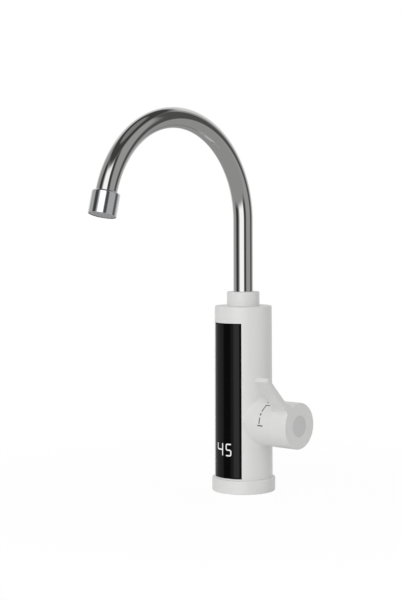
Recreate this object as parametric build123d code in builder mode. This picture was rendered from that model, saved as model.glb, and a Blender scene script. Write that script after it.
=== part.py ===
from build123d import *
import os
from math import atan2, cos, degrees, hypot, radians, sin

# Electric instant water heater tap, in millimetres
# Origin: centre of the base's underside, on the worktop. +Z up, spout and display to -Y, knob to +X

os.makedirs("parts", exist_ok=True)

# Clearances
fit_gap = 0.1           # fixed pieces that slot together
thread_gap = 0.05       # threads, screw holes and pipe sockets
swivel_gap = 0.1        # turning and sliding pieces in their bores
pass_gap = 0.3          # faces that move past each other
cut_over = 1.0          # how far a cut runs past the face it opens

# Body housing
body_foot_radius = 29.7
body_top_radius = 29.0
body_top = 188.9
body_wall = 3.0
body_rim_round = 1.0

# Side boss, control knob and its lever
knob_height = 71.5
boss_radius = 23.3
boss_face = 50.0
boss_wall = 2.5
boss_end_wall = 3.0
boss_lip_height = 1.5
boss_lip_width = 2.2
boss_root_round = 2.7
knob_radius = 23.3
knob_face = 72.0
knob_wall = 2.5
knob_end_wall = 3.0
knob_edge_round = 0.8
knob_turn = 50.0
lever_angle = 45.0
lever_tip = 70.8
lever_width = 15.5
lever_thickness = 5.2
lever_root_round = 4.0
lever_edge_round = 0.6

# Base ring with its gasket and screws
base_wall = 2.52
base_height = 13.8
base_floor = 5.0
base_top_round = 1.2
base_foot_round = 0.8
gasket_inset = 1.3
gasket_width = 3.5
gasket_thickness = 2.0
post_sink = 0.3
post_radius = 3.6
post_height = 18.0
post_count = 3
post_start = 30.0
base_screw_radius = 1.5
base_screw_length = 14.0
base_screw_head = 3.0
base_screw_head_height = 2.2
base_screw_sink = 0.6

# Display
window_foot = 15.2
window_top = 172.2
window_half_angle = 36.0
window_thickness = 1.5
module_x = -2.4
module_drop = 27.9
module_width = 25.0
module_height = 19.0
module_sink = 6.0
board_width = 34.0
board_height = 36.0
board_thickness = 1.6
board_screw_inset = 4.0
board_screw_radius = 1.25
board_screw_length = 5.5
board_screw_head = 2.2
board_screw_head_height = 1.4
board_post_radius = 2.7

# Fixing under the worktop, threads at their outside diameter
thread_radius = 10.48
shank_bore = 6.5
shank_flange_width = 24.0
shank_flange_height = 4.0
shank_spigot = 9.0
shank_groove_bottom = 7.6
clamp_thread_length = 44.0
relief_length = 2.5
relief_radius = 9.2
inlet_thread_length = 16.0
shank_chamfer = 0.8
worktop_thickness = 28.0
clamp_radius = 26.0
clamp_rubber_thickness = 2.0
clamp_plate_thickness = 2.0
backnut_width = 27.0
backnut_height = 8.0

# Cable gland
gland_offset = 18.9
cable_radius = 4.0
cable_room = 1.0
gland_neck = 5.0
gland_head = 6.4
gland_head_height = 2.0
gland_lip_height = 1.5
gland_sleeve_height = 7.0

# Valve
valve_arm_radius = 15.0
valve_arm_back = 13.0
valve_thread_radius = 12.0
valve_thread_length = 9.0
valve_nut_width = 28.0
valve_nut_height = 5.0
valve_inlet_radius = 12.5
valve_inlet_drop = 25.5
valve_outlet_rise = 18.5
inlet_socket_depth = 8.0
outlet_socket_depth = 4.0
chamber_radius = 9.7
chamber_depth = 17.0
inlet_channel = 2.8
outlet_channel = 2.4
riser_channel = 4.5
port_circle = 6.0
hot_x = -2.0
cold_x = 14.0
hot_boss_radius = 9.8
cold_boss_radius = 6.2
disc_thickness = 3.5
disc_seal_thickness = 1.6
moving_disc_radius = 9.0
slot_depth = 1.8
drive_thickness = 3.5
dog_width = 3.0
dog_height = 1.5
dog_length = 2.6
spindle_radius = 5.0
spindle_groove_bottom = 3.9
spline_radius = 4.6
spline_root = 4.0
spline_teeth = 12
spline_tooth = 1.1
gland_nut_width = 22.0
gland_nut_height = 3.3
knob_hub_radius = 8.0
knob_web = 2.2
knob_screw_radius = 2.0
knob_screw_length = 12.0
knob_screw_head = 4.0
knob_screw_head_height = 2.4
knob_pocket_depth = 3.15
knob_cap_radius = 10.5
knob_cap_thickness = 1.4

# Flow switch
flow_tube_radius = 8.4
flow_spigot = 7.4
flow_bore = 6.2
flow_throat = 4.2
flow_tube_length = 22.0
flow_seat = 2.5
flow_roof = 3.5
flow_top_spigot = 6.0
float_base = 5.2
float_stem = 2.2
float_stem_length = 3.8
float_flutes = 4
float_flute_radius = 1.5
magnet_radius = 5.0
magnet_height = 3.5
spring_radius = 4.8
spring_wire = 0.4
spring_turns = 5
reed_size = 6.0
reed_height = 14.0
reed_rise = 5.0

# Cold pipe
cold_pipe_radius = 4.0
cold_pipe_wall = 0.8

# Heater vessel
vessel_gap = 0.9
vessel_flange_width = 4.4
vessel_wall = 1.2
vessel_flange_height = 2.0
vessel_base_height = 6.0
vessel_seal_height = 1.5
vessel_seal_width = 2.4
vessel_shoulder_round = 5.0
vessel_neck = 7.0
vessel_neck_bore = 5.5
vessel_neck_height = 9.0
vessel_screw_count = 6
vessel_screw_inset = 1.9
vessel_screw_radius = 1.0
vessel_screw_length = 8.0
vessel_screw_head = 1.7
vessel_screw_head_height = 1.4

# Heating element
coil_gap = 3.2
element_radius = 2.6
coil_full_turns = 3
coil_end_room = 7.0
outer_leg_angle = -40.0
inner_leg_x = -1.0
inner_leg_y = 8.0
element_tail = 6.0
bush_radius = 3.8
bush_height = 4.0
tab_width = 6.3
tab_thickness = 0.8
tab_length = 8.0

# Thermal cut-out and temperature probe
cutout_x = -14.0
cutout_y = 8.0
cutout_radius = 6.0
cutout_height = 5.5
cutout_tab_length = 6.0
probe_x = 6.5
probe_y = 4.5
probe_radius = 1.6
probe_length = 26.0
probe_head = 2.8
probe_head_height = 5.0

# Terminal block
block_width = 22.0
block_depth = 8.0
block_height = 16.0
block_foot = 27.0
block_pad_depth = 3.3
block_pad_width = 12.0
block_ways = 3
block_way_pitch = 7.3
block_way_radius = 1.8
block_screw_radius = 1.25
block_screw_length = 9.5
block_screw_head = 2.2
block_screw_head_height = 1.4

# Spout socket and neck collar
socket_flange_radius = 17.0
socket_flange_height = 5.0
socket_boss_radius = 10.0
socket_boss_length = 9.4
socket_thread_radius = 13.5
socket_rise = 9.0
socket_throat = 5.5
collar_radius = 16.55
collar_height = 14.4
collar_lip = 2.5
collar_round = 0.9

# Spout and its foot
tube_radius = 10.0
tube_wall = 1.0
arc_height = 275.1
arc_radius = 99.3
bend_angle = 165.0
tube_tail = 10.2
foot_radius = 10.2
foot_bore = 7.2
foot_flange_radius = 12.8
foot_flange_height = 1.6
foot_spigot_length = 12.4
foot_groove_bottom = 8.6
foot_groove_rise = 3.3
foot_groove_pitch = 4.0
swivel_washer_thickness = 1.0

# Aerator at the spout's end
aerator_radius = 13.3
aerator_back = 1.3
aerator_reach = 20.8
aerator_shoulder_round = 2.0
aerator_edge_round = 0.4
aerator_rim = 0.9
aerator_washer_height = 1.5
aerator_washer_width = 3.5
insert_holes = 12
insert_hole_radius = 1.3
insert_hole_circle = 8.0
screen_thickness = 0.6
screen_recess = 0.5
screen_rings = 3
screen_ring_pitch = 3.0
screen_hole = 1.6

# Places that follow from the sizes
shell_foot = base_floor
body_ceiling = body_top - body_wall
valve_shoulder = boss_face - boss_end_wall
valve_end = valve_shoulder + valve_thread_length
chamber_floor = valve_shoulder - chamber_depth
seal_face = chamber_floor + disc_seal_thickness
disc_face = seal_face + disc_thickness
drive_face = disc_face + disc_thickness
shaft_start = drive_face + drive_thickness
gland_nut_start = shaft_start + 2 * swivel_gap
gland_nut_end = valve_end + fit_gap + gland_nut_height
knob_back = boss_face + pass_gap
knob_hub_start = gland_nut_end + pass_gap
cap_floor = knob_face - knob_cap_thickness - thread_gap
knob_pocket_floor = cap_floor - knob_pocket_depth
knob_socket_end = knob_pocket_floor - knob_web
spindle_end = knob_socket_end - 2 * fit_gap
spline_start = knob_hub_start - fit_gap
spindle_bore = spindle_radius + swivel_gap
shank_flange_top = base_floor + shank_flange_height
valve_inlet_end = knob_height - valve_inlet_drop
valve_outlet_end = knob_height + valve_outlet_rise
inlet_socket = shank_spigot + fit_gap
outlet_foot = valve_outlet_end - outlet_socket_depth
port_angle = 90.0
outlet_y = port_circle * sin(radians(knob_turn))
outlet_z = knob_height + port_circle * cos(radians(knob_turn))
vessel_base_foot = valve_outlet_end + flow_tube_length
vessel_base_top = vessel_base_foot + vessel_base_height
vessel_foot = vessel_base_top + vessel_seal_height
socket_foot = body_ceiling - socket_flange_height - socket_boss_length
vessel_top = socket_foot
socket_ledge = body_ceiling + fit_gap
socket_top = body_top + socket_rise
socket_bore = foot_radius + swivel_gap
foot_flange_foot = socket_top + swivel_gap
foot_flange_top = foot_flange_foot + foot_flange_height
collar_top = body_top + collar_height
lip_foot = collar_top - collar_lip
module_z = knob_height - module_drop
gland_pocket = gland_head_height + gland_sleeve_height + pass_gap
board_back = valve_inlet_radius + board_screw_head_height + fit_gap
board_front = board_back + board_thickness
clamp_rubber_top = -worktop_thickness
clamp_plate_top = clamp_rubber_top - clamp_rubber_thickness
backnut_top = clamp_plate_top - clamp_plate_thickness


def body_radius(height):
    """Outside radius of the tapered body at a height."""
    return body_foot_radius + (body_top_radius - body_foot_radius) * height / body_top


def radial_plane(azimuth):
    """Upright plane through the body's axis: X points out at the azimuth, Y points up."""
    angle = radians(azimuth)
    return Plane(origin=(0, 0, 0), x_dir=(cos(angle), sin(angle), 0), z_dir=(sin(angle), -cos(angle), 0))


def over(x, y):
    """Level plane with its origin over a point of the plan."""
    return Plane(origin=(x, y, 0), z_dir=(0, 0, 1))


def turned(plane, *steps, mode=Mode.ADD):
    """Round lengths along a plane's normal, each given as radius, start and end."""
    for radius, start, end in steps:
        with BuildSketch(plane.offset(start)) as outline:
            Circle(radius)
        extrude(outline.sketch, amount=end - start, mode=mode)


def hexagon(plane, width, start, end):
    """Hexagonal length along a plane's normal, its width measured across the flats."""
    with BuildSketch(plane.offset(start)) as outline:
        RegularPolygon(width / 2, 6, major_radius=False)
    extrude(outline.sketch, amount=end - start)


def ring_groove(plane, shaft, bottom, bore, station):
    """Groove in a shaft, centred on a station, for a sealing ring that reaches out to a bore."""
    width = bore - bottom + 2 * fit_gap
    with BuildSketch(plane.offset(station - width / 2)) as groove:
        Circle(shaft + fit_gap)
        Circle(bottom, mode=Mode.SUBTRACT)
    extrude(groove.sketch, amount=width, mode=Mode.SUBTRACT)


def sealing_ring(plane, bottom, bore, station):
    """Round ring that fills a groove from its bottom out to a bore."""
    across = Plane(origin=plane.origin, x_dir=plane.x_dir, z_dir=-plane.y_dir)
    with BuildSketch(across) as wire:
        with Locations(((bottom + bore) / 2, station)):
            Circle((bore - bottom - thread_gap) / 2)
    revolve(wire.sketch, axis=Axis(plane.origin, plane.z_dir))


def helix_wire(plane, coil, wire, pitch, height):
    """Round wire wound about a plane's normal, starting on the plane's X."""
    line = plane.location * Helix(pitch=pitch, height=height, radius=coil, mode=Mode.PRIVATE)
    with BuildSketch(Plane(origin=line @ 0, z_dir=line % 0)) as section:
        Circle(wire)
    sweep(section.sketch, path=line, is_frenet=True)
    return line


def splined(extra, start, end, mode=Mode.ADD):
    """Splined length on the knob's axis, grown all round by an extra clearance."""
    tooth_height = spline_radius - spline_root + cut_over
    with BuildSketch(knob_plane.offset(start)) as outline:
        Circle(spline_root + extra)
        with PolarLocations(spline_radius + extra - tooth_height / 2, spline_teeth):
            Rectangle(tooth_height, spline_tooth + 2 * extra)
    extrude(outline.sketch, amount=end - start, mode=mode)


module_depth = body_radius(module_z) - module_sink - board_front
base_radius = body_radius(shell_foot) + fit_gap + base_wall
gasket_outer = base_radius - gasket_inset
post_circle = body_radius(shell_foot) - body_wall - post_radius + post_sink
vessel_flange = body_radius(vessel_base_foot) - body_wall - vessel_gap
vessel_radius = vessel_flange - vessel_flange_width
vessel_screw_circle = vessel_flange - vessel_screw_inset
coil_radius = vessel_radius - vessel_wall - coil_gap - element_radius
block_back = body_radius(block_foot) - body_wall - block_pad_depth
knob_plane = Plane(origin=(0, 0, knob_height), x_dir=(0, 1, 0), z_dir=(1, 0, 0))
hot_plane = over(hot_x, -outlet_y)
cold_plane = over(cold_x, outlet_y)

# Base ring: a cup that closes the body's foot, with a groove for the gasket underneath
with BuildPart() as base_ring:
    turned(Plane.XY, (base_radius, 0, base_height))
    rim = base_ring.edges().filter_by(GeomType.CIRCLE).sort_by(Axis.Z)
    fillet(rim[-1], base_top_round)
    fillet(base_ring.edges().filter_by(GeomType.CIRCLE).sort_by(Axis.Z)[0], base_foot_round)
    turned(Plane.XY, (body_radius(shell_foot) + fit_gap, base_floor, base_height), mode=Mode.SUBTRACT)
    turned(Plane.XY, (thread_radius + fit_gap, 0, base_floor), mode=Mode.SUBTRACT)
    with BuildSketch(Plane.XY) as gasket_groove:
        Circle(gasket_outer + fit_gap)
        Circle(gasket_outer - gasket_width - fit_gap, mode=Mode.SUBTRACT)
    extrude(amount=gasket_thickness, mode=Mode.SUBTRACT)
    with BuildSketch(Plane.XY) as screw_sinks:
        with PolarLocations(post_circle, post_count, start_angle=post_start):
            Circle(base_screw_head + fit_gap)
    extrude(amount=base_screw_sink + base_screw_head_height, mode=Mode.SUBTRACT)
    with BuildSketch(Plane.XY) as screw_holes:
        with PolarLocations(post_circle, post_count, start_angle=post_start):
            Circle(base_screw_radius + fit_gap)
    extrude(amount=base_floor, mode=Mode.SUBTRACT)
    turned(
        over(0, gland_offset),
        (gland_neck + thread_gap, 0, base_floor),
        (gland_head + thread_gap, 0, gland_lip_height + thread_gap),
        mode=Mode.SUBTRACT,
    )
base_ring.part.label = "base_ring"
export_step(base_ring.part, "parts/base_ring.step")

# Rubber gasket between the base and the worktop
with BuildPart() as base_gasket:
    with BuildSketch(Plane.XY) as gasket_outline:
        Circle(gasket_outer)
        Circle(gasket_outer - gasket_width, mode=Mode.SUBTRACT)
    extrude(amount=gasket_thickness)
base_gasket.part.label = "base_gasket"
export_step(base_gasket.part, "parts/base_gasket.step")

# Screws that hold the base ring to the posts in the body's foot
screw_seat = base_screw_sink + base_screw_head_height
with BuildPart() as base_screws:
    with BuildSketch(Plane.XY.offset(base_screw_sink)) as heads:
        with PolarLocations(post_circle, post_count, start_angle=post_start):
            Circle(base_screw_head)
            RegularPolygon(base_screw_radius, 6, mode=Mode.SUBTRACT)
    extrude(amount=base_screw_head_height)
    with BuildSketch(Plane.XY.offset(screw_seat - base_screw_head_height / 2)) as shafts:
        with PolarLocations(post_circle, post_count, start_angle=post_start):
            Circle(base_screw_radius)
    extrude(amount=base_screw_head_height / 2 + base_screw_length)
base_screws.part.label = "base_screws"
export_step(base_screws.part, "parts/base_screws.step")

# Space inside the body: the cavity, the boss's bore and room for the gland, less the posts and the pad
post_top = shell_foot + post_height
board_posts = [
    (module_x + side * (board_width / 2 - board_screw_inset), module_z + end * (board_height / 2 - board_screw_inset))
    for side in (-1, 1)
    for end in (-1, 1)
]
with BuildPart() as cavity:
    with BuildSketch(Plane.XZ) as cavity_half:
        Polygon(
            (0, shell_foot),
            (body_radius(shell_foot) - body_wall, shell_foot),
            (body_radius(body_ceiling) - body_wall, body_ceiling),
            (0, body_ceiling),
            align=None,
        )
    revolve(axis=Axis.Z)
    turned(knob_plane, (boss_radius - boss_wall, 0, valve_shoulder))
    turned(over(0, gland_offset), (gland_head + pass_gap, shell_foot, shell_foot + gland_pocket))
    with BuildSketch(Plane.XY.offset(shell_foot)) as post_outlines:
        with PolarLocations(post_circle, post_count, start_angle=post_start):
            Circle(post_radius)
    extrude(amount=post_height, mode=Mode.SUBTRACT)
    with BuildSketch(Plane.XZ.offset(board_front)) as board_post_outlines:
        with Locations(*board_posts):
            Circle(board_post_radius)
    extrude(amount=body_foot_radius - board_front, mode=Mode.SUBTRACT)
    with BuildSketch(Plane.XZ.offset(-block_back)) as pad_outline:
        with Locations((0, block_foot + block_height / 2)):
            Rectangle(block_pad_width, block_height)
    extrude(amount=block_back - body_foot_radius, mode=Mode.SUBTRACT)

# Body shell: moulded housing with the side boss, the window's recess and the opening behind it
recess_depth = window_thickness + fit_gap
recess_angle = window_half_angle + degrees(fit_gap / body_foot_radius)
recess_foot = window_foot - fit_gap
recess_top = window_top + fit_gap
with BuildPart() as body_shell:
    with BuildSketch(Plane.XZ) as body_half:
        Polygon(
            (0, shell_foot),
            (body_radius(shell_foot), shell_foot),
            (body_top_radius, body_top),
            (0, body_top),
            align=None,
        )
    revolve(axis=Axis.Z)
    fillet(body_shell.edges().filter_by(GeomType.CIRCLE).sort_by(Axis.Z)[-1], body_rim_round)
    turned(knob_plane, (boss_radius, 0, boss_face))
    boss_root = body_shell.edges().filter_by(GeomType.BSPLINE)
    fillet(boss_root, boss_root_round)
    with BuildSketch(knob_plane.offset(boss_face)) as lip_outline:
        Circle(boss_radius - boss_wall - pass_gap)
        Circle(boss_radius - boss_wall - pass_gap - boss_lip_width, mode=Mode.SUBTRACT)
    extrude(amount=boss_lip_height)
    add(cavity.part, mode=Mode.SUBTRACT)
    turned(knob_plane, (valve_thread_radius + fit_gap, valve_shoulder, boss_face), mode=Mode.SUBTRACT)
    turned(Plane.XY, (socket_thread_radius + fit_gap, body_ceiling, body_top), mode=Mode.SUBTRACT)
    with BuildSketch(radial_plane(-90 - recess_angle)) as recess_section:
        Polygon(
            (body_radius(recess_foot) - recess_depth, recess_foot),
            (body_radius(recess_foot) + cut_over, recess_foot),
            (body_radius(recess_top) + cut_over, recess_top),
            (body_radius(recess_top) - recess_depth, recess_top),
            align=None,
        )
    revolve(axis=Axis.Z, revolution_arc=2 * recess_angle, mode=Mode.SUBTRACT)
    with BuildSketch(Plane.XZ.offset(board_front)) as module_opening:
        with Locations((module_x, module_z)):
            Rectangle(module_width + 2 * pass_gap, module_height + 2 * pass_gap)
    extrude(amount=body_foot_radius - board_front, mode=Mode.SUBTRACT)
    with BuildSketch(Plane.XY.offset(shell_foot)) as pilot_holes:
        with PolarLocations(post_circle, post_count, start_angle=post_start):
            Circle(base_screw_radius + thread_gap)
    extrude(amount=screw_seat + base_screw_length + cut_over - shell_foot, mode=Mode.SUBTRACT)
    with BuildSketch(Plane.XZ.offset(board_front)) as board_pilots:
        with Locations(*board_posts):
            Circle(board_screw_radius + thread_gap)
    extrude(amount=board_screw_length - board_thickness + pass_gap, mode=Mode.SUBTRACT)
    with BuildSketch(Plane.XZ.offset(-block_back)) as block_pilots:
        with GridLocations(block_way_pitch, 1, 2, 1):
            with Locations((0, block_foot + block_height / 2)):
                Circle(block_screw_radius + thread_gap)
    extrude(amount=block_depth - block_screw_length - pass_gap, mode=Mode.SUBTRACT)
body_shell.part.label = "body_shell"
export_step(body_shell.part, "parts/body_shell.step")

# Glossy display window, curved and tapered with the body and flush in its recess
with BuildPart() as display_window:
    with BuildSketch(radial_plane(-90 - window_half_angle)) as window_section:
        Polygon(
            (body_radius(window_foot) - window_thickness, window_foot),
            (body_radius(window_foot), window_foot),
            (body_radius(window_top), window_top),
            (body_radius(window_top) - window_thickness, window_top),
            align=None,
        )
    revolve(axis=Axis.Z, revolution_arc=2 * window_half_angle)
display_window.part.label = "display_window"
export_step(display_window.part, "parts/display_window.step")

# Two-digit module that shines through the window
with BuildPart() as digit_module:
    with BuildSketch(Plane.XZ.offset(board_front)) as module_outline:
        with Locations((module_x, module_z)):
            Rectangle(module_width, module_height)
    extrude(amount=module_depth)
    chamfer(digit_module.faces().sort_by(Axis.Y)[0].edges(), fit_gap)
digit_module.part.label = "digit_module"
export_step(digit_module.part, "parts/digit_module.step")

# Board that carries the digit module
with BuildPart() as display_board:
    with BuildSketch(Plane.XZ.offset(board_back)) as board_outline:
        with Locations((module_x, module_z)):
            RectangleRounded(board_width, board_height, board_screw_head)
        with Locations(*board_posts):
            Circle(board_screw_radius + thread_gap, mode=Mode.SUBTRACT)
    extrude(amount=board_thickness)
display_board.part.label = "display_board"
export_step(display_board.part, "parts/display_board.step")

# Screws that hold the board to its four posts
with BuildPart() as board_screws:
    with BuildSketch(Plane.XZ.offset(board_back)) as board_shafts:
        with Locations(*board_posts):
            Circle(board_screw_radius)
    extrude(amount=board_screw_length)
    with BuildSketch(Plane.XZ.offset(board_back)) as board_heads:
        with Locations(*board_posts):
            Circle(board_screw_head)
    extrude(amount=-board_screw_head_height)
board_screws.part.label = "board_screws"
export_step(board_screws.part, "parts/board_screws.step")

# Mounting shank: hexagon on the base floor, clamp thread, inlet thread, spigot up to the valve
clamp_thread_end = -clamp_thread_length
inlet_thread_start = clamp_thread_end - relief_length
shank_end = inlet_thread_start - inlet_thread_length
spigot_end = valve_inlet_end + inlet_socket_depth - fit_gap
shank_ring_station = valve_inlet_end + inlet_socket_depth / 2
with BuildPart() as mounting_shank:
    turned(
        Plane.XY,
        (thread_radius, clamp_thread_end, base_floor),
        (relief_radius, inlet_thread_start, clamp_thread_end),
        (thread_radius, shank_end, inlet_thread_start),
        (shank_spigot, shank_flange_top, spigot_end),
    )
    hexagon(Plane.XY, shank_flange_width, base_floor, shank_flange_top)
    mouth = mounting_shank.edges().filter_by(GeomType.CIRCLE).sort_by(Axis.Z)[0]
    chamfer(mouth, shank_chamfer)
    ring_groove(Plane.XY, shank_spigot, shank_groove_bottom, inlet_socket, shank_ring_station)
    turned(Plane.XY, (shank_bore, shank_end, spigot_end), mode=Mode.SUBTRACT)
mounting_shank.part.label = "mounting_shank"
export_step(mounting_shank.part, "parts/mounting_shank.step")

# Sealing ring on the shank's spigot, inside the valve's inlet
with BuildPart() as shank_ring:
    sealing_ring(Plane.XY, shank_groove_bottom, inlet_socket, shank_ring_station)
shank_ring.part.label = "shank_ring"
export_step(shank_ring.part, "parts/shank_ring.step")

# Rubber and steel washers that clamp the worktop from below, notched for the power cable
for name, top, thickness in (
    ("clamp_rubber", clamp_rubber_top, clamp_rubber_thickness),
    ("clamp_plate", clamp_plate_top, clamp_plate_thickness),
):
    with BuildPart() as washer:
        with BuildSketch(Plane.XY.offset(top - thickness)) as washer_outline:
            Circle(clamp_radius)
            Circle(thread_radius + fit_gap, mode=Mode.SUBTRACT)
            with Locations((0, gland_offset)):
                Circle(cable_radius + cable_room, mode=Mode.SUBTRACT)
            with Locations((0, gland_offset + clamp_radius / 2)):
                Rectangle(2 * (cable_radius + cable_room), clamp_radius, mode=Mode.SUBTRACT)
        extrude(amount=thickness)
    washer.part.label = name
    export_step(washer.part, f"parts/{name}.step")

# Backnut on the clamp thread
with BuildPart() as backnut:
    hexagon(Plane.XY, backnut_width, backnut_top - backnut_height, backnut_top)
    turned(
        Plane.XY,
        (thread_radius + thread_gap, backnut_top - backnut_height, backnut_top),
        mode=Mode.SUBTRACT,
    )
    chamfer(backnut.edges().filter_by(GeomType.CIRCLE), thread_gap * 10)
backnut.part.label = "backnut"
export_step(backnut.part, "parts/backnut.step")

# Rubber gland in the base floor for the power cable
with BuildPart() as cable_gland:
    turned(
        over(0, gland_offset),
        (gland_head, 0, gland_lip_height),
        (gland_neck, 0, base_floor),
        (gland_head, base_floor, base_floor + gland_head_height),
        (gland_neck, base_floor, base_floor + gland_head_height + gland_sleeve_height),
    )
    turned(
        over(0, gland_offset),
        (cable_radius, 0, base_floor + gland_head_height + gland_sleeve_height),
        mode=Mode.SUBTRACT,
    )
cable_gland.part.label = "cable_gland"
export_step(cable_gland.part, "parts/cable_gland.step")

# Valve body: arm to the side boss, inlet below, hot and cold outlets on top
with BuildPart() as valve_body:
    turned(
        knob_plane,
        (valve_arm_radius, -valve_arm_back, valve_shoulder),
        (valve_thread_radius, valve_shoulder, valve_end),
    )
    turned(Plane.XY, (valve_inlet_radius, valve_inlet_end, knob_height))
    turned(hot_plane, (hot_boss_radius, knob_height, valve_outlet_end))
    turned(cold_plane, (cold_boss_radius, knob_height, valve_outlet_end))
    turned(
        knob_plane,
        (chamber_radius, chamber_floor, valve_end),
        (inlet_channel, 0, chamber_floor),
        mode=Mode.SUBTRACT,
    )
    turned(
        Plane.XY,
        (inlet_socket, valve_inlet_end, valve_inlet_end + inlet_socket_depth),
        (riser_channel, valve_inlet_end, knob_height),
        mode=Mode.SUBTRACT,
    )
    for riser, socket, x, y in (
        (hot_plane, flow_spigot, hot_x, -outlet_y),
        (cold_plane, cold_pipe_radius, cold_x, outlet_y),
    ):
        turned(
            riser,
            (socket + thread_gap, outlet_foot, valve_outlet_end),
            (outlet_channel, outlet_z, outlet_foot),
            mode=Mode.SUBTRACT,
        )
        channel_plane = Plane(origin=(x, y, outlet_z), x_dir=(0, 1, 0), z_dir=(1, 0, 0))
        turned(channel_plane, (outlet_channel, 0, chamber_floor - x), mode=Mode.SUBTRACT)
valve_body.part.label = "valve_body"
export_step(valve_body.part, "parts/valve_body.step")

# Hexagon nut that clamps the valve to the side boss
with BuildPart() as valve_nut:
    hexagon(knob_plane, valve_nut_width, boss_face, boss_face + valve_nut_height)
    turned(
        knob_plane,
        (valve_thread_radius + thread_gap, boss_face, boss_face + valve_nut_height),
        mode=Mode.SUBTRACT,
    )
valve_nut.part.label = "valve_nut"
export_step(valve_nut.part, "parts/valve_nut.step")

# Rubber seal and fixed ceramic disc: inlet in the middle, an outlet each side of the top
for name, back, thickness in (
    ("disc_seal", chamber_floor, disc_seal_thickness),
    ("fixed_disc", seal_face, disc_thickness),
):
    with BuildPart() as port_disc:
        with BuildSketch(knob_plane.offset(back)) as disc_outline:
            Circle(chamber_radius - fit_gap)
            Circle(inlet_channel, mode=Mode.SUBTRACT)
            with PolarLocations(
                port_circle, 2, start_angle=port_angle - knob_turn, angular_range=2 * knob_turn, endpoint=True
            ):
                Circle(outlet_channel, mode=Mode.SUBTRACT)
        extrude(amount=thickness)
    port_disc.part.label = name
    export_step(port_disc.part, f"parts/{name}.step")

# Moving ceramic disc: a blind slot joins the inlet to one outlet, two notches take the spindle's dogs
dog_circle = moving_disc_radius - dog_length / 2
with BuildPart() as moving_disc:
    turned(knob_plane, (moving_disc_radius, disc_face, drive_face))
    with BuildSketch(knob_plane.offset(disc_face)) as slot:
        with Locations((0, port_circle / 2)):
            SlotCenterToCenter(port_circle, 2 * outlet_channel, rotation=90)
    extrude(amount=slot_depth, mode=Mode.SUBTRACT)
    with BuildSketch(knob_plane.offset(drive_face)) as notches:
        with PolarLocations(dog_circle, 2):
            Rectangle(dog_length + 2 * fit_gap, dog_width + 2 * fit_gap)
    extrude(amount=-dog_height, mode=Mode.SUBTRACT)
moving_disc.part.label = "moving_disc"
export_step(moving_disc.part, "parts/moving_disc.step")

# Valve spindle: drive plate with two dogs, shaft with a ring groove, splined end, screw hole
spindle_ring_station = (gland_nut_start + valve_end) / 2
with BuildPart() as valve_spindle:
    turned(
        knob_plane,
        (moving_disc_radius, drive_face, shaft_start),
        (spindle_radius, shaft_start, spline_start),
    )
    with BuildSketch(knob_plane.offset(drive_face)) as dogs:
        with PolarLocations(dog_circle, 2):
            Rectangle(dog_length, dog_width)
        Circle(moving_disc_radius, mode=Mode.INTERSECT)
    extrude(amount=fit_gap - dog_height)
    splined(0, spline_start, spindle_end)
    ring_groove(knob_plane, spindle_radius, spindle_groove_bottom, spindle_bore, spindle_ring_station)
    turned(
        knob_plane,
        (knob_screw_radius + thread_gap, knob_pocket_floor - knob_screw_length - fit_gap, spindle_end),
        mode=Mode.SUBTRACT,
    )
valve_spindle.part.label = "valve_spindle"
export_step(valve_spindle.part, "parts/valve_spindle.step")

# Sealing ring on the spindle
with BuildPart() as spindle_ring:
    sealing_ring(knob_plane, spindle_groove_bottom, spindle_bore, spindle_ring_station)
spindle_ring.part.label = "spindle_ring"
export_step(spindle_ring.part, "parts/spindle_ring.step")

# Gland nut that screws into the valve's arm and holds the spindle and discs in
with BuildPart() as gland_nut:
    turned(knob_plane, (chamber_radius - thread_gap, gland_nut_start, valve_end + fit_gap))
    hexagon(knob_plane, gland_nut_width, valve_end + fit_gap, gland_nut_end)
    turned(knob_plane, (spindle_bore, gland_nut_start, gland_nut_end), mode=Mode.SUBTRACT)
gland_nut.part.label = "gland_nut"
export_step(gland_nut.part, "parts/gland_nut.step")

# Control knob: round cup over the boss's lip, flat lever on its rim, splined hub inside
lever_slope = radians(lever_angle)
lever_plane = Plane(
    origin=(knob_face - lever_width, 0, knob_height),
    x_dir=(0, -cos(lever_slope), sin(lever_slope)),
    z_dir=(1, 0, 0),
)
lever_line = Axis(lever_plane.origin, lever_plane.x_dir)
with BuildPart() as control_knob:
    turned(knob_plane, (knob_radius, knob_back, knob_face))
    fillet(control_knob.edges().filter_by(GeomType.CIRCLE).sort_by(Axis.X)[-1], knob_edge_round)
    with BuildSketch(lever_plane) as lever_outline:
        with Locations((lever_tip / 2, 0)):
            Rectangle(lever_tip, lever_thickness)
    extrude(amount=lever_width)
    fillet(control_knob.edges(Select.NEW), lever_root_round)
    tip_face = control_knob.faces().filter_by(lever_line).sort_by(lever_line)[-1]
    fillet(tip_face.edges(), lever_edge_round)
    turned(
        knob_plane,
        (knob_radius - knob_wall, knob_back, knob_face - knob_end_wall),
        mode=Mode.SUBTRACT,
    )
    turned(knob_plane, (knob_hub_radius, knob_hub_start, knob_face - knob_end_wall))
    splined(fit_gap, knob_hub_start, knob_socket_end, mode=Mode.SUBTRACT)
    turned(
        knob_plane,
        (knob_screw_radius + fit_gap, knob_socket_end, knob_pocket_floor),
        (knob_screw_head + fit_gap, knob_pocket_floor, cap_floor),
        (knob_cap_radius + fit_gap, cap_floor, knob_face),
        mode=Mode.SUBTRACT,
    )
control_knob.part.label = "control_knob"
export_step(control_knob.part, "parts/control_knob.step")

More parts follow.
